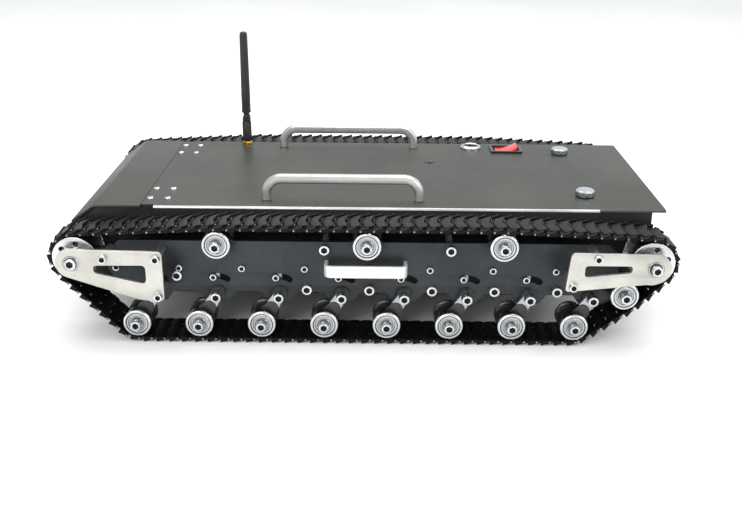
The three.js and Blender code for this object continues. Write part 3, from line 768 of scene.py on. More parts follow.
def switch():
    x, y, *_ = SWITCH
    top = DECK_TOP + 2
    frame_piece = Piece("switch_bezel")
    frame_piece.add(slab([switch_panel(0, 2), switch_panel(3, 1)], DECK_TOP + 0.02, top, 0.4, 2),
                    "bezel")
    body, inside = switch_panel(2.2, 1), switch_panel(3.2, 1)
    frame_piece.add(slab([body, inside], DECK_TOP - 14, DECK_TOP, 0.2), "bezel")
    frame_piece.add(slab([body], DECK_TOP - 16, DECK_TOP - 14.1, 0.2), "bezel")
    for dx in (-8, 0, 8):
        frame_piece.add(block(x + dx, y, 4.8, 0.8, DECK_TOP - 17.8, DECK_TOP - 16, 0.1, 0.1), "gold")
    frame_piece.build("lid", "antenna_black", ["deck_lid"])

    lo, hi = low("power_rocker"), high("power_rocker")
    key = Piece("power_rocker_key", (x, y, DECK_TOP))
    crest = hi.z
    dip = DECK_TOP + 1.2
    left_top = DECK_TOP + 0.4
    faces = [(lo.x, left_top)]
    for step in range(1, 7):
        t = step / 6
        sag = 0.5 * math.sin(math.pi * t)
        faces.append((lo.x + (x - lo.x) * t, left_top + (dip - left_top) * t - sag))
    for step in range(1, 9):
        t = step / 8
        sag = 0.9 * math.sin(math.pi * t)
        faces.append((x + (hi.x - x) * t, dip + (crest - dip) * t - sag))
    outline = faces + [(hi.x - 1.2, lo.z), (lo.x + 1.2, lo.z)]
    key.add(slab([outline], lo.y, hi.y, 0.5, 2), "rocker", outwards(1))
    key.build("rocker", "rocker_red", ["power_rocker"])


def antenna():
    x, y = ANTENNA_AT.x, ANTENNA_AT.y
    mount = Piece("antenna_mount")
    at = Matrix.Translation((x, y, DECK_TOP))
    mount.add(turned([(0, -9.5), (3, -9.5), (3, 0.05), (0, 0.05)], 24), "gold", at)
    mount.add(turned([(3.1, -4.4, "hex"), (4.4, -4.4, "hex"), (4.4, -2.1, "hex"),
                      (3.1, -2.1, "hex")], 24, closed=True), "gold", at)
    mount.add(turned([(0, 0.05), (4.6, 0.05), (4.6, 0.6), (4.4, 0.6, "hex"), (4.4, 2.4, "hex"),
                      (4.0, 2.8, "hex"), (3.2, 2.9), (3.2, 4), (0, 4)], 24), "gold", at)
    top = KNUCKLE_Z - DECK_TOP - 4
    mount.add(turned([(0, 3.6), (4.2, 3.6), (4.5, 4.2), (4.5, 9), (4.2, 9.3), (4.5, 9.6), (4.5, top - 1),
                      (3.9, top), (0, top)], 32), "rubber", at)
    fork = rounded([(-3.6, top - 1, 0), (3.6, top - 1, 0), (3.6, top + 7, 3.4), (-3.6, top + 7, 3.4)])
    for y0 in (-3.6, 1.9):
        shift = Matrix.Translation((x, y, DECK_TOP)) @ outwards(1)
        mount.add(slab([fork], y0, y0 + 1.7, 0.2), "rubber", shift)
    mount.build("lid", "antenna_black", ["deck_lid"])

    height = high("antenna_whip").z - KNUCKLE_Z
    whip = Piece("antenna_whip_rod", (x, y, KNUCKLE_Z))
    at = Matrix.Translation((x, y, KNUCKLE_Z))
    tongue = rounded([(-2.6, 6, 0), (-3, 0, 2), (0, -3.0, 2.2), (3, 0, 2), (2.6, 6, 0)])
    whip.add(slab([tongue], -1.5, 1.5, 0.2), "rubber", at @ outwards(1))
    profile = [(0, 5), (4.1, 5), (4.5, 5.5)]
    for ridge in range(4):
        z = 8 + ridge * 2.4
        profile += [(4.48, z), (4.1, z + 0.3), (4.1, z + 1.0), (4.46, z + 1.3)]
    profile += [(4.4, 20), (3.75, height - 4), (3.4, height - 1.4), (2.2, height - 0.3), (0, height)]
    whip.add(turned(profile, 32), "rubber", at)
    whip.add(turned([(0, -1.9), (1.3, -1.9), (1.3, 1.9), (0, 1.9)], 16), "screw", at @ outwards(1))
    whip.build("antenna", "antenna_black", ["antenna_whip"])


def bow_path(half, rise, corner, steps=10):
    """Centre line of a bow handle: leg, rounded corner, bar, rounded corner, leg."""
    return ([(-half, 0)] + arc(-half + corner, rise - corner, corner, 2 * QUARTER, QUARTER, steps)
            + arc(half - corner, rise - corner, corner, QUARTER, 0, steps) + [(half, 0)])


def swept(section, path):
    """A section of (outward, across) points carried along an upright path of (along, up) points."""
    loops = []
    for i, point in enumerate(path):
        ahead = Vector(path[min(i + 1, len(path) - 1)]) - Vector(path[max(i - 1, 0)])
        ahead.normalize()
        outward = Vector((-ahead.y, ahead.x))
        loops.append([(point[0] + outward.x * o, across, point[1] + outward.y * o)
                      for o, across in section])
    return loft(loops)


def top_handle(name, side):
    node = f"top_handle_{name}"
    lo, hi = low(node), high(node)
    bar = hi.y - lo.y
    centre = middle(node)
    half = (hi.x - lo.x - bar) / 2
    rise = hi.z - lo.z - bar / 2
    groove = [(bar / 2, 0.5), (bar / 2 - 0.35, 0.15), (bar / 2 - 0.35, -0.15), (bar / 2, -0.5)]
    flatten = 1.12   # a round bar this much too wide, cut back to its box, has four flat sides
    turn = [math.radians(degrees) for degrees in range(-20, -341, -20)]
    section = groove + [tuple(max(-bar / 2, min(bar / 2, flatten * bar / 2 * part))
                              for part in (math.cos(a), math.sin(a))) for a in turn]
    handle = Piece(f"top_handle_{name}_bar", (centre.x, centre.y, lo.z))
    at = Matrix.Translation((centre.x, centre.y, lo.z))
    handle.add(swept(section, bow_path(half, rise, 13)), "handle", at)
    handle.build("lid", "handle_aluminium", [node])
    bolts = Piece(f"top_handle_{name}_bolts")
    for dx in (-half, half):
        under = Matrix.Translation((centre.x + dx, centre.y, DECK_TOP - SHEET)) @ Matrix.Rotation(
            math.pi, 4, "X")
        bolts.add(turned([(0, 0.05), (5, 0.05), (5, 0.9), (HEAD_R, 0.9), (HEAD_R, 4.6), (3.9, 5),
                          (2.4, 5, "hex"), (2.4, 2.5, "hex"), (0, 2.3)], 24), "screw", under)
    bolts.build("lid", "wheel_metal")


def knob(name, side):
    node = f"lid_knob_{name}"
    lo, hi, centre = low(node), high(node), middle(node)
    radius = (hi.x - lo.x) / 2
    base = DECK_TOP + GAP
    rise = hi.z - base
    made = Piece(f"lid_knob_{name}_screw", (centre.x, centre.y, base))
    at = Matrix.Translation((centre.x, centre.y, base))
    made.add(turned([
        (0, 0), (radius - 0.8, 0), (radius - 0.2, 0.6), (radius, 0.8, "knurl"),
        (radius, rise - 1.5, "knurl"), (radius - 0.5, rise - 1.0), (radius - 1.2, rise - 0.35),
        (radius - 2.2, rise - 0.25), (radius - 3.5, rise - 0.1), (0, rise),
    ], 80), "knob", at)
    made.add(turned([(0, lo.z - base), (2.4, lo.z - base), (3, lo.z - base + 0.6), (3, 0), (0, 0)],
                    20), "screw", at)
    made.build(f"knob_{name}", "knob_metal", [node])


# ---- side plates --------------------------------------------------------------------------------

PLATE_TOP = 84.0
LUG_DROP = 7.7
SCREW_ROW_Z = 43.5
STANDOFFS = [(x, SCREW_ROW_Z) for x in (-46, 5, 56, 107, 158)]
STANDOFFS += [(-151.5, 55), (-31.5, 78.4), (70.5, 78.4)]
ANCHOR_SHIFT = (-30.3, 22.1)   # a spring's fixed end, seen from its arm's pivot
SIDE_HANDLE = (2.0, 63.7, 32.0, 15.0, 3.0, 10.0, 6.0)   # x, z, half, rise, bar, width, corner


def plate_outline():
    pivot_z = PIVOT_AT[0].z
    base = pivot_z - LUG_DROP
    corners = [(-198, PLATE_TOP, 2), (-208, 72, 3), (-208, 58, 3), (-186, base, 3)]
    for k, pivot in enumerate(PIVOT_AT):
        if k:
            corners.append((pivot.x - 9, base, 3))
        corners.append((pivot.x + 9, base, 3))
        if k < len(PIVOT_AT) - 1:
            following = PIVOT_AT[k + 1].x
            corners += [(pivot.x + 15, pivot_z + 1, 2.5), (following - 15, pivot_z + 1, 2.5)]
    corners += [(GUIDE.x - 3, GUIDE.z - 6.5, 2), (GUIDE.x + 4, GUIDE.z - 5.5, 2),
                (GUIDE.x + 6.5, GUIDE.z + 2, 2), (207, 60, 3), (206, 76, 3), (198, PLATE_TOP, 2)]
    for roller in reversed(ROLLER_AT):
        top = roller.z + 5
        corners += [(roller.x + 12, PLATE_TOP, 2), (roller.x + 5, top, 2), (roller.x - 5, top, 2),
                    (roller.x - 12, PLATE_TOP, 2)]
    return rounded(corners, 4)


def limit_slot(pivot):
    """The curved window round a pivot that a limit pin swings in, with round ends."""
    half = 2.6
    start, end = PIN_REST + math.radians(2), PIN_REST - SLOT_SWEEP + math.radians(10)
    outer = arc(pivot.x, pivot.z, PIN_ORBIT + half, start, end, 12)
    inner = arc(pivot.x, pivot.z, PIN_ORBIT - half, end, start, 12)
    caps = [arc(pivot.x + PIN_ORBIT * math.cos(a), pivot.z + PIN_ORBIT * math.sin(a), half,
                a + turn, a + turn - math.pi, 8)[1:-1] for a, turn in ((end, 0), (start, math.pi))]
    return outer + caps[0] + inner + caps[1]


def side_plate(name, side):
    node = f"side_plate_{name}"
    plate = Piece(f"{node}_sheet")
    loops = [plate_outline()]
    loops += [circle(p.x, p.z, 4.4) for p in PIVOT_AT]
    loops += [limit_slot(p) for p in PIVOT_AT]
    loops += [circle(r.x, r.z, 3.4) for r in ROLLER_AT]
    loops += [circle(GUIDE.x, GUIDE.z, 3.4)]
    plate.add(slab(loops, *PLATE, 0.3), "plate", outwards(side))
    plate.build("hull", "plate_black", [node])

    screws = Piece(f"{node}_screws")
    for x, z in STANDOFFS:
        screws.screw(side, x, z, PLATE[1] + 0.05)
        screws.add(rod(3, WALL[1] + 0.1, PLATE[0], 20), "arm", outwards(side, x, z))
    for pivot in PIVOT_AT:
        x, z = pivot.x + ANCHOR_SHIFT[0], pivot.z + ANCHOR_SHIFT[1]
        screws.screw(side, x, z, PLATE[1] + 0.05, SMALL_HEAD_R, 3.0)
        screws.add(rod(1.5, SPRING_OUT - 3, PLATE[0], 14), "screw", outwards(side, x, z))
        screws.add(washer(1.6, 3, PLATE[0] - 2.4, PLATE[0] - 0.05), "screw", outwards(side, x, z))
    screws.build("hull", "wheel_metal", [node])
    side_handle(name, side)


def side_handle(name, side):
    x, z, half, rise, bar, width, corner = SIDE_HANDLE
    base = PLATE[1] + 0.05
    outer = bow_path(half + bar / 2, rise, corner, 8)
    inner = bow_path(half - bar / 2, rise - bar, corner - bar, 8)[::-1]
    bow = slab([outer + inner], z - width / 2, z + width / 2, 0.7, 2)
    handle = Piece(f"side_handle_{name}")
    lie = Matrix(((1, 0, 0, x), (0, side, 0, side * base), (0, 0, 1, 0), (0, 0, 0, 1)))
    # the side handle takes the lighter handle copy as a painted highlight
    handle.add(bow, "handle_painted_light", lie)
    handle.build("hull", "handle_aluminium", [f"side_plate_{name}"])


# ---- end brackets -------------------------------------------------------------------------------

FRONT_BRACKET = {
    "body": [(-158, 83.5, 4), (-158, 42, 3), (-176, 42, 6)],
    "window": [(-171.5, 72, 4), (-171.5, 56, 5), (-212.5, 65.5, 3), (-212.5, 71.5, 3)],
    "screws": [(-204, 78), (-162.5, 78), (-162.5, 46)],
}
REAR_BRACKET = {
    "body": [(160, 53, 4), (163, 86, 4)],
    "window": [(174.5, 75.5, 3), (211.5, 75.5, 2.6), (211.5, 70, 2.6), (174.5, 66, 3)],
    "screws": [(183.5, 82), (166, 58)],
}
BRACKET_END_R = 12.3


def front_outline():
    """Triangle whose narrow end wraps round the sprocket's axle."""
    end = arc(AXLE_F.x, AXLE_F.z, BRACKET_END_R, QUARTER * 1.15, QUARTER * 2.85, 20)
    return end[::-1] + rounded([(*end[0], 0)] + FRONT_BRACKET["body"] + [(*end[-1], 0)])[1:-1]


def rear_outline():
    end = arc(AXLE_R.x, AXLE_R.z, BRACKET_END_R, QUARTER * 0.9, -QUARTER * 0.9, 20)
    return end + rounded([(*end[-1], 0)] + REAR_BRACKET["body"] + [(*end[0], 0)])[1:-1]


def end_bracket(name, side, which):
    spec, outline, axle = {
        "front": (FRONT_BRACKET, front_outline(), AXLE_F),
        "rear": (REAR_BRACKET, rear_outline(), AXLE_R),
    }[which]
    node = f"end_bracket_{which}_{name}"
    bracket = Piece(f"{node}_plate")
    loops = [outline, rounded(spec["window"]), circle(axle.x, axle.z, 6.3, 32)]
    bracket.add(slab(loops, *BRACKET, 0.35), "bracket", outwards(side))
    bracket.build("hull", "bracket_aluminium", [node])

    fixings = Piece(f"{node}_fixings", (axle.x, 0, axle.z))
    at = outwards(side, axle.x, axle.z)
    fixings.add(washer(4.9, 6.2, BRACKET[0] + 0.1, BRACKET[1] + 0.15, 32), "bearing", at)
    fixings.add(washer(4.5, 4.85, BRACKET[0] + 0.2, BRACKET[1] - 0.5, 32), "drum", at)
    for x, z in spec["screws"]:
        post = outwards(side, x, z)
        fixings.add(rod(3.2, PLATE[1] + 0.05, BRACKET[0] - 0.02, 20), "arm", post)
        fixings.screw(side, x, z, BRACKET[1] + 0.02, 3.5, 4.4)
    fixings.build("hull", "wheel_metal", [node])


# ---- wheels -------------------------------------------------------------------------------------

def wheel_piece(label, centre, side):
    """Rim with its bearing and cap screw, axle, and the black inner drum."""
    wheel = Piece(label, (centre.x, 0, centre.z))
    at = outwards(side, centre.x, centre.z)
    r = WHEEL_R
    wheel.add(turned([
        (9.2, RIM[1] - 3.2), (r - 0.2, RIM[1] - 3.2), (r, RIM[1] - 2.9),
        (r, RIM[1] - 0.9), (r - 0.4, RIM[1] - 0.3), (r - 0.9, RIM[1]), (9.5, RIM[1]),
        (9.2, RIM[1] - 0.4),
    ], 48, closed=True), "wheel", at)
    wheel.add(turned([(3, RIM[0]), (r - 0.9, RIM[0]), (r - 0.5, RIM[0] + 0.4),
                      (r - 0.5, RIM[1] - 3.25), (3, RIM[1] - 3.25)], 48, closed=True), "drum", at)
    wheel.add(turned([(3, RIM[1] - 3.2), (9.15, RIM[1] - 3.2), (9.15, RIM[1] - 1.3),
                      (3, RIM[1] - 1.3)], 36, closed=True), "socket", at)
    wheel.add(washer(7.0, 8.7, RIM[0] + 1, RIM[1] - 0.3, 40), "bearing", at)
    wheel.add(turned([(3, RIM[1] - 2.5), (7.0, RIM[1] - 1.2), (5.6, RIM[1] - 1.0), (5.2, RIM[1] - 1.3)],
                     36, closed=True), "arm", at)
    wheel.add(washer(3, 5.1, RIM[1] - 3, RIM[1] - 0.6, 32), "bearing", at)
    wheel.add(rod(3.6, RIM[1] - 2, RIM[1] + 1.02, 24), "arm", at)
    wheel.screw(side, centre.x, centre.z, RIM[1] + 1)
    wheel.add(rod(3, DRUM[1] - 0.5, RIM[0] + 1, 20), "bearing", at)
    return wheel


def drum_piece(label, centre, side, sleeve):
    """Black spool behind the arm; a road wheel's has a sleeve that reaches out to the arm."""
    drum = Piece(label, (centre.x, 0, centre.z))
    at = outwards(side, centre.x, centre.z)
    r, inner, outer = WHEEL_R, *DRUM
    drum.add(turned([
        (0, inner), (5, inner), (5.3, inner + 0.6), (8.6, inner + 0.6), (9, inner), (r - 0.4, inner),
        (r, inner + 0.4), (r, inner + 1.8), (r - 0.5, inner + 2.3), (9.2, inner + 3),
        (9.2, outer - 3), (r - 0.5, outer - 2.3), (r, outer - 1.8), (r, outer - 0.4),
        (r - 0.4, outer), (9, outer), (8.6, outer - 0.6), (5.3, outer - 0.6), (5, outer), (0, outer),
    ], 48), "drum", at)
    if sleeve:
        drum.add(turned([(3.1, outer + 0.05), (8.7, outer + 0.05), (9, outer + 0.4),
                         (9, ARM[0] - 0.8), (8.7, ARM[0] - 0.5), (3.1, ARM[0] - 0.5)],
                        40, closed=True), "drum", at)
    for edge in (inner + 0.4, outer - 1.8):
        drum.add(turned([(r - 0.4, edge), (r + 0.0, edge), (r + 0.0, edge + 1.4),
                         (r - 0.4, edge + 1.4)], 48, closed=True), "bearing", at)
    return drum


def wheels(name, side):
    spots = [("guide_wheel", f"guide_wheel_{name}", f"guide_{name}", GUIDE)]
    spots += [(f"return_roller_{i}", f"return_roller_{name}_{i}", f"roller_{name}_{i}",
               ROLLER_AT[i - 1]) for i in ROLLERS]
    spots += [(f"road_wheel_{k}", f"road_wheel_{name}_{k}", f"wheel_{name}_{k}", WHEEL_AT[k - 1])
              for k in UNITS]
    meshes = {}
    for label, node, body, centre in spots:
        sleeve = label.startswith("road") and label != "road_wheel_1"
        rim = wheel_piece(f"{name}_{label}_rim", centre, side)
        drum = drum_piece(f"{name}_{label}_drum", centre, side, sleeve)
        if "rim" not in meshes:
            meshes["rim"] = rim.mesh()
        if sleeve not in meshes:
            meshes[sleeve] = drum.mesh()
        rim.build(body, "wheel_metal", [node], meshes["rim"])
        drum.build(body, "antenna_black", [node], meshes[sleeve])


def toothed(radius, teeth, depth):
    """Outline of a chain wheel: rounded teeth round a circle."""
    points = []
    count = teeth * 10
    for i in range(count):
        angle = 2 * math.pi * i / count
        wave = math.cos(teeth * angle)
        reach = radius - depth * (1 - max(-0.6, min(0.6, wave)) / 0.6) / 2
        points.append((reach * math.cos(angle), reach * math.sin(angle)))
    return points


def end_wheel(name, side, which):
    node, axle = {
        "sprocket": (f"drive_sprocket_{name}", AXLE_F),
        "idler": (f"idler_wheel_{name}", AXLE_R),
    }[which]
    wheel = Piece(f"{name}_{which}", (axle.x, 0, axle.z))
    at = outwards(side, axle.x, axle.z)
    tip = max(abs(low(node).y), abs(high(node).y))
    holes = [circle(12.2 * math.cos(a), 12.2 * math.sin(a), 2.3, 16)
             for a in (math.radians(60 * i + 20) for i in range(6))]
    for inner in (DRUM[0], RIM[1] - 3):
        wheel.add(slab([circle(0, 0, END_R, 72), *holes], inner, inner + 3, 0.4, 2), "wheel", at)
    if which == "sprocket":
        for inner in (DRUM[0] + 3.1, RIM[1] - 6.1):
            wheel.add(slab([toothed(END_R - 0.1, 12, 3.0)], inner, inner + 3, 0.4), "drum", at)
    core = 14.2 if which == "idler" else 9.5
    wheel.add(turned([(0, DRUM[0] + 3.05), (core, DRUM[0] + 3.05), (core, RIM[1] - 3.05),
                      (0, RIM[1] - 3.05)], 48), "drum", at)
    wheel.add(washer(4.2, 8.6, RIM[1], RIM[1] + 1.6, 36), "bearing", at)
    wheel.add(rod(4, WALL[1] + 1.1, DRUM[0], 24), "bearing", at)
    wheel.add(rod(4, RIM[1], BRACKET[1] + 0.3, 24), "bearing", at)
    radius, base = (4.6, BRACKET[1] + 0.3) if which == "sprocket" else (HEAD_R, tip - 4.6)
    wheel.screw(side, axle.x, axle.z, base, radius, tip - base)
    wheel.build(f"{which}_{name}", "wheel_metal", [node])


# ---- suspension arms and springs ----------------------------------------------------------------

def pin_point(pivot):
    return (pivot.x + PIN_ORBIT * math.cos(PIN_REST), pivot.z + PIN_ORBIT * math.sin(PIN_REST))


def arm_piece(label, k, side):
    pivot, wheel = PIVOT_AT[k - 1], WHEEL_AT[k - 1]
    arm = Piece(label, (pivot.x, 0, pivot.z))
    flat = outwards(side)
    bar = bar_outline((pivot.x, pivot.z), (wheel.x, wheel.z), ARM_HALF - 0.6, ARM_HALF + 1.6)
    arm.add(slab([bar, circle(wheel.x, wheel.z, 3.3)], *ARM, 0.5, 2), "arm", flat)
    inner, outer = ARM[0] - 0.4, RIM[0] - 0.2
    arm.add(turned([(3.4, inner), (HUB_R - 0.5, inner), (HUB_R, inner + 0.5), (HUB_R, outer - 0.5),
                    (HUB_R - 0.5, outer), (3.4, outer)], 40, closed=True),
            "drum", outwards(side, wheel.x, wheel.z))
    # a black sleeve over the arm's lower half, painted shade cast there by the rim and drum
    end = (wheel.x + (pivot.x - wheel.x) * SHADE_SLEEVE_UP, wheel.z + (pivot.z - wheel.z) * SHADE_SLEEVE_UP)
    arm.add(slab([bar_outline((wheel.x, wheel.z), end, ARM_HALF + 2.2, ARM_HALF + 1.0)],
                 inner, outer - 0.3, 0.5, 2), "drum", flat)
    pin = pin_point(pivot)
    arm.add(slab([bar_outline((pivot.x, pivot.z), pin, ARM_HALF - 1)], *CRANK, 0.4), "arm", flat)
    at = outwards(side, pivot.x, pivot.z)
    arm.add(rod(4, CRANK[1] - 0.2, ARM[0] + 0.2, 24), "bearing", at)
    # the spacer and the boss under the pivot screw are black as painted shade, for the shadow above the
    # screw
    arm.add(washer(4.1, 6.2, PLATE[1] + 0.1, ARM[0] - 0.1), "drum", at)
    arm.add(rod(4.6, ARM[1] - 0.2, ARM[1] + 2.02, 24), "drum", at)
    arm.screw(side, pivot.x, pivot.z, ARM[1] + 2, HEAD_R, 5.0)
    at = outwards(side, *pin)
    arm.add(rod(2, SPRING_OUT - 3, ARM[0] - 0.8, 16), "screw", at)
    arm.screw(side, *pin, PLATE[1] + 0.4, SMALL_HEAD_R, 2.6)
    arm.add(washer(2.1, 3, CRANK[0] - 0.8, CRANK[0] - 0.05), "screw", at)
    return arm


def spring_points(start, end, out, radius, turns):
    """Hook, coils and hook of an extension spring between two pins."""
    start, end = Vector((start[0], out, start[1])), Vector((end[0], out, end[1]))
    along = (end - start).normalized()
    across = Vector((0, 1, 0))
    lift = along.cross(across)
    length = (end - start).length
    hook, loop_r = 2.6, 2.6 * 0.7

    def eye(at, sign):
        angles = [math.radians(-60 + 25 * step) for step in range(13)]
        return [at + (lift * math.sin(a) - along * math.cos(a)) * sign * loop_r for a in angles]

    points = eye(start, 1)
    body_from, body_to = hook + 1.4, length - hook - 1.4
    steps = turns * 12
    for step in range(steps + 1):
        angle = 2 * math.pi * step / 12
        reach = body_from + (body_to - body_from) * step / steps
        points.append(start + along * reach
                      + (across * math.cos(angle) + lift * math.sin(angle)) * radius)
    return points + eye(end, -1)


def suspension(name, side):
    mesh = None
    for k in UNITS:
        arm = arm_piece(f"{name}_arm_{k}", k, side)
        mesh = mesh or arm.mesh()
        arm.build(f"arm_{name}_{k}", "arm_metal", [f"suspension_arm_{name}_{k}"], mesh)
        pivot = PIVOT_AT[k - 1]
        fixed = (pivot.x + ANCHOR_SHIFT[0], pivot.z + ANCHOR_SHIFT[1])
        moving = pin_point(pivot)
        points = spring_points(fixed, moving, SPRING_OUT, 2.1, 14)
        spring = Piece(f"{name}_spring_{k}")
        spring.add(tube([(p.x, side * p.y, p.z) for p in points], 0.4, 6), "spring")
        made = spring.build(None, "arm_metal")
        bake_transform(made)


# ---- tracks -------------------------------------------------------------------------------------

BELT_BACK = 0.4
PIN_LINE = 1.5       # a link's pins stand this far outside the belt's inner face
TREAD = 3.1          # tread height above the pins
PAD = (113.5, 137.5)
BARREL_R = 1.35
LINK_PITCH = 10.5
BEND_LEAD = 1.5
EAR_WIDE = 3.2
PIN_R = 0.8
STARTING_BARRELS = ((108.2, 111.0), (119.4, 124.4), (138.6, 142.6))
ENDING_BARRELS = ((111.4, 114.8), (124.8, 130.6), (134.8, 138.2))


def circuit():
    """Circles the belt wraps, as (x, z, radius), clockwise seen from the near side."""
    first, last = WHEEL_AT[0], WHEEL_AT[-1]
    return [
        (AXLE_F.x, AXLE_F.z, END_R), (ROLLER_AT[0].x, ROLLER_AT[0].z, WHEEL_R),
        (ROLLER_AT[-1].x, ROLLER_AT[-1].z, WHEEL_R), (AXLE_R.x, AXLE_R.z, END_R),
        (GUIDE.x, GUIDE.z, WHEEL_R), (last.x, last.z, WHEEL_R),
        (first.x - BEND_LEAD, first.z, WHEEL_R),
    ]


def leaving(a, b):
    along = math.atan2(b[1] - a[1], b[0] - a[0])
    return along + math.acos((a[2] - b[2]) / math.hypot(b[0] - a[0], b[1] - a[1]))


def pin_line():
    """The closed line through all the links' pins, in short steps."""
    wheels_round, points = circuit(), []
    for i, (x, z, r) in enumerate(wheels_round):
        before = wheels_round[i - 1]
        after = wheels_round[(i + 1) % len(wheels_round)]
        start = leaving(before, (x, z, r))
        sweep = (start - leaving((x, z, r), after)) % (2 * math.pi)
        points += arc(x, z, r + BELT_BACK + PIN_LINE, start, start - sweep, 60)
    return points


def pins():
    """Pins spaced evenly along their line."""
    line = pin_line()
    steps = [math.dist(a, b) for a, b in zip(line, line[1:] + line[:1])]
    total = sum(steps)
    count = round(total / LINK_PITCH)
    spots, walked, edge = [], 0.0, 0
    for i in range(count):
        target = total * i / count
        while walked + steps[edge] < target:
            walked += steps[edge]
            edge += 1
        t = (target - walked) / steps[edge]
        a, b = line[edge], line[(edge + 1) % len(line)]
        spots.append((a[0] + (b[0] - a[0]) * t, a[1] + (b[1] - a[1]) * t))
    return spots


def chevron(length):
    """A raised swept pad on the middle of the link, its trailing edge the higher."""
    middle_out = (PAD[0] + PAD[1]) / 2
    tip, sweep, width = 0.8, 2.8, length * 0.7

    def ring(inset, height):
        ends = (PAD[0] + inset, PAD[1] - inset)
        front = [(tip + inset + sweep, ends[0]), (tip + inset, middle_out), (tip + inset + sweep, ends[1])]
        back = [(u + width - 2 * inset, y) for u, y in front[::-1]]
        return [(u, y, height(0)) for u, y in front] + [(u, y, height(1)) for u, y in back]

    low_edge, chamfer = 1.5, 0.4
    return loft([ring(0, lambda t: -0.9),
                 ring(0, lambda t: low_edge + (TREAD - low_edge) * t - chamfer),
                 ring(0.45, lambda t: low_edge + (TREAD - low_edge) * t)])


def moved(solid, at):
    verts, faces = solid
    return [tuple(at @ Vector(v)) for v in verts], faces


def link_solids(length):
    """One link: base plate, hinge barrels and tread, as solids of (along, out, up) points."""
    plate = slab([panel(1.2, length - 1.2, TRACK[0] + 2.2, TRACK[1] - 2.4, 0.6)], -1.4, 0.1, 0.25)
    solids = [plate]
    for along, barrels in ((0.0, STARTING_BARRELS), (length, ENDING_BARRELS)):
        for start, end in barrels:
            barrel = turned([(0, start), (BARREL_R - 0.2, start), (BARREL_R, start + 0.3),
                             (BARREL_R, end - 0.3), (BARREL_R - 0.2, end), (0, end)], 12)
            solids.append(moved(barrel, outwards(1, along)))
            reach = (0.4, 2.0) if along == 0 else (length - 2.0, length - 0.4)
            solids.append(slab([panel(*reach, start + 0.2, end - 0.2, 0)], -1.2, 0.8, 0))
    ear = rounded([(-1.3, -1.3, 0.8), (length * 0.6, -1.3, 0.8), (length * 0.68, 0.3, 0.5),
                   (length * 0.64, TREAD - 0.1, 0.3), (1.6, 1.2, 0.8), (-1.3, 1.2, 0.8)], 3)
    for inner in (TRACK[0] + 0.8, TRACK[1] - 0.8 - EAR_WIDE):
        solids.append(moved(slab([ear], inner, inner + EAR_WIDE, 0.3), outwards(1)))
    return solids


def track(name, side):
    spots = pins()
    links = Piece(f"track_{name}_links")
    ends = Piece(f"track_{name}_pins")
    length = math.dist(spots[0], spots[1])
    solids = link_solids(length)
    tread = chevron(length)
    pin_end = turned([(0, TRACK[0] + 1.6), (PIN_R - 0.2, TRACK[0] + 1.6), (PIN_R, TRACK[0] + 1.9),
                      (PIN_R, TRACK[1] - 0.5), (PIN_R - 0.3, TRACK[1] - 0.2), (0, TRACK[1] - 0.2)],
                     10)
    for here, following in zip(spots, spots[1:] + spots[:1]):
        ahead = (Vector(following) - Vector(here)).normalized()
        up = Vector((-ahead.y, ahead.x))
        at = Matrix(((ahead.x, 0, up.x, here[0]), (0, side, 0, 0), (ahead.y, 0, up.y, here[1]),
                     (0, 0, 0, 1)))
        for solid in solids:
            links.add(solid, "track", at)
        links.add(tread, "tread", at)
        ends.add(pin_end, "pin", outwards(side, *here))
    links.build("hull", "track_plastic", [f"track_{name}"])
    ends.build("hull", "wheel_metal", [f"track_{name}"])


# ---- inside the hull ----------------------------------------------------------------------------

BATTERY = (22.0, 158.0, 34.0, 46.0)    # x from and to, half width, height
BOARD = (-120.0, -18.0, 38.0)          # x from and to, half width
BOARD_Z = FLOOR_Z + SHEET + 10
BOARD_SCREW_IN = 5.0
CHIPS = [(-95, -14, 20, 20, 2.4), (-62, 10, 14, 9, 2.0), (-62, -18, 10, 7, 1.8),
         (-104, 18, 16, 12, 9.0), (-36, -2, 12, 26, 12.0)]   # x, y, long, wide, tall


def gear_motor(name, side):
    motor = Piece(f"gear_motor_{name}")
    at = outwards(side, AXLE_F.x + 8, AXLE_F.z - 3)
    face = WALL[0] - 0.2
    motor.add(turned([(0, face - 25), (18.3, face - 25), (18.5, face - 24), (18.5, face - 1),
                      (18, face), (0, face)], 48), "can", at)
    motor.add(turned([(0, face - 60), (8, face - 60), (8, face - 57), (16, face - 57), (17, face - 55),
                      (17, face - 27), (17, face - 25), (0, face - 25)], 48), "can", at)
    motor.add(turned([(17.05, face - 54), (17.4, face - 53.8), (17.4, face - 40), (17.05, face - 39.8)],
                     48, closed=True), "chip", at)
    motor.add(turned([(0, face - 66), (9, face - 66), (9, face - 60.1), (0, face - 60.1)], 32),
              "chip", at)
    shaft = outwards(side, AXLE_F.x, AXLE_F.z)
    motor.add(rod(3, face - 0.5, WALL[1] + 1, 20), "bearing", shaft)
    motor.build("hull", "wheel_metal")


def battery():
    pack = Piece("battery_pack")
    x0, x1, half, tall = BATTERY
    base = FLOOR_Z + SHEET + 0.6
    upright = Matrix(((0, 0, 1, 0), (1, 0, 0, 0), (0, 1, 0, 0), (0, 0, 0, 1)))
    pack.add(slab([panel(x0, x1, -half, half, 7)], base, base + tall, 3.2, 3), "wrap")
    for x in (x0 + 30, x1 - 30):
        over, under = base + tall + 1.4, base + tall + 0.3
        strap = rounded([(-half - 1.2, base, 0), (-half - 1.2, over, 4), (half + 1.2, over, 4),
                         (half + 1.2, base, 0), (half, base, 0), (half, under, 3.4),
                         (-half, under, 3.4), (-half, base, 0)], 5)
        pack.add(slab([strap], x - 9, x + 9, 0.2), "wire_black", upright)
    pack.build("hull", "antenna_black")


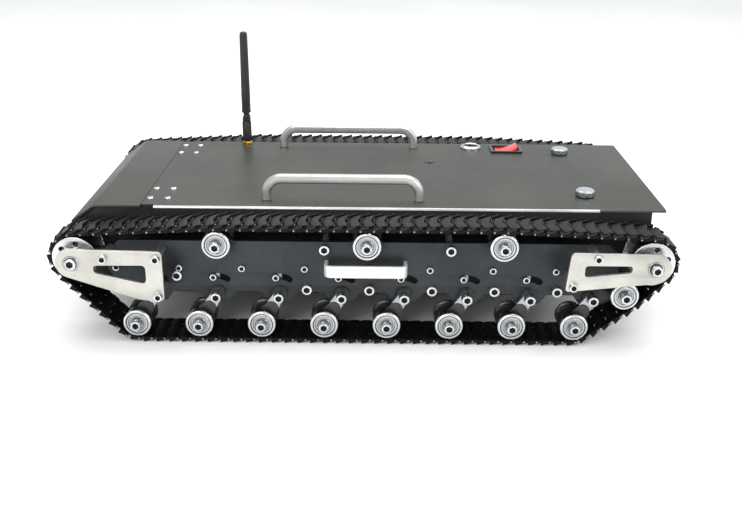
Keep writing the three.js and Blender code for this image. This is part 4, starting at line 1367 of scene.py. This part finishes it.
def control_board():
    board = Piece("control_board")
    (x0, x1, half), base, inset = BOARD, BOARD_Z, BOARD_SCREW_IN
    corners = [(x, y) for x in (x0 + inset, x1 - inset) for y in (-half + inset, half - inset)]
    holes = [circle(x, y, 1.7, 12) for x, y in corners]
    board.add(slab([panel(x0, x1, -half, half, 3), *holes], base, base + 1.6, 0.1), "pcb")
    for x, y in corners:
        board.add(turned([(0, FLOOR_Z + SHEET + 0.1), (3, FLOOR_Z + SHEET + 0.1, "hex"),
                          (3, base - 0.1, "hex"), (0, base - 0.1)], 12), "gold",
                  Matrix.Translation((x, y, 0)))
        board.add(button_head(SMALL_HEAD_R, 1.9), "screw", Matrix.Translation((x, y, base + 1.6)))
    for x, y, long, wide, tall in CHIPS:
        board.add(block(x, y, long, wide, base + 1.65, base + 1.6 + tall, 0.6, 0.3), "chip")
    for fin in range(6):
        x = -41 + fin * 2.2
        board.add(block(x, -2, 1, 24, base + 13.7, base + 22, 0.1, 0.1), "can")
    for i in range(5):
        at = Matrix.Translation((-80 + i * 11, 30, base + 1.65))
        board.add(turned([(0, 0), (4, 0), (4.1, 1), (4.1, 10.4), (3.6, 11), (2.4, 11), (0, 10.7)], 24),
                  "wrap" if i % 2 else "chip", at)
    for i in range(6):
        y = -30 + i * 5.2
        board.add(block(x0 + 5, y, 8, 4.8, base + 1.65, base + 10, 0.3, 0.3),
                  "pcb" if i % 2 else "wire_black")
        board.add(turned([(0, base + 9.9), (1.5, base + 9.9), (1.5, base + 10.5), (0, base + 10.5)],
                         12), "screw", Matrix.Translation((x0 + 5, y, 0)))
    board.build("hull", "antenna_black")


def smooth_line(points, steps=8):
    """A smooth curve through chosen points."""
    vectors = [Vector(p) for p in points]
    line = []
    padded = [vectors[0]] + vectors + [vectors[-1]]
    for a, b, c, d in zip(padded, padded[1:], padded[2:], padded[3:]):
        for step in range(steps):
            t = step / steps
            line.append(0.5 * (2 * b + (c - a) * t + (2 * a - 5 * b + 4 * c - d) * t * t
                               + (3 * b - a - 3 * c + d) * t ** 3))
    return line + [vectors[-1]]


def wiring():
    wires = Piece("internal_wires")
    z = FLOOR_Z + SHEET + 3
    for i, finish in enumerate(("wire_red", "wire_black")):
        shift = i * 3.4
        wires.add(tube(smooth_line([
            (24, 20 + shift, z + 30), (8, 22 + shift, z + 26), (-2, 24 + shift, z + 14),
            (-14, 26 + shift, z + 16), (-20, 26 + shift, z + 10)]), 1.4, 10), finish)
        for side in SIDES.values():
            y = side * (34 + shift)
            wires.add(tube(smooth_line([
                (-114, side * 20, z + 20), (-128, side * 24, z + 22), (-150, y, z + 6),
                (-180, y, z + 8), (-198, side * (31 + shift), z + 30), (AXLE_F.x + 8, side * 31.5, 70)
            ]), 1.2, 10), finish)
    wires.build("hull", "antenna_black")


# ---- build --------------------------------------------------------------------------------------

camera()
studio()
hull()
lid()
for side_name, side_sign in SIDES.items():
    side_plate(side_name, side_sign)
    end_bracket(side_name, side_sign, "front")
    end_bracket(side_name, side_sign, "rear")
    end_wheel(side_name, side_sign, "sprocket")
    end_wheel(side_name, side_sign, "idler")
    wheels(side_name, side_sign)
    suspension(side_name, side_sign)
    track(side_name, side_sign)
    gear_motor(side_name, side_sign)
battery()
control_board()
wiring()
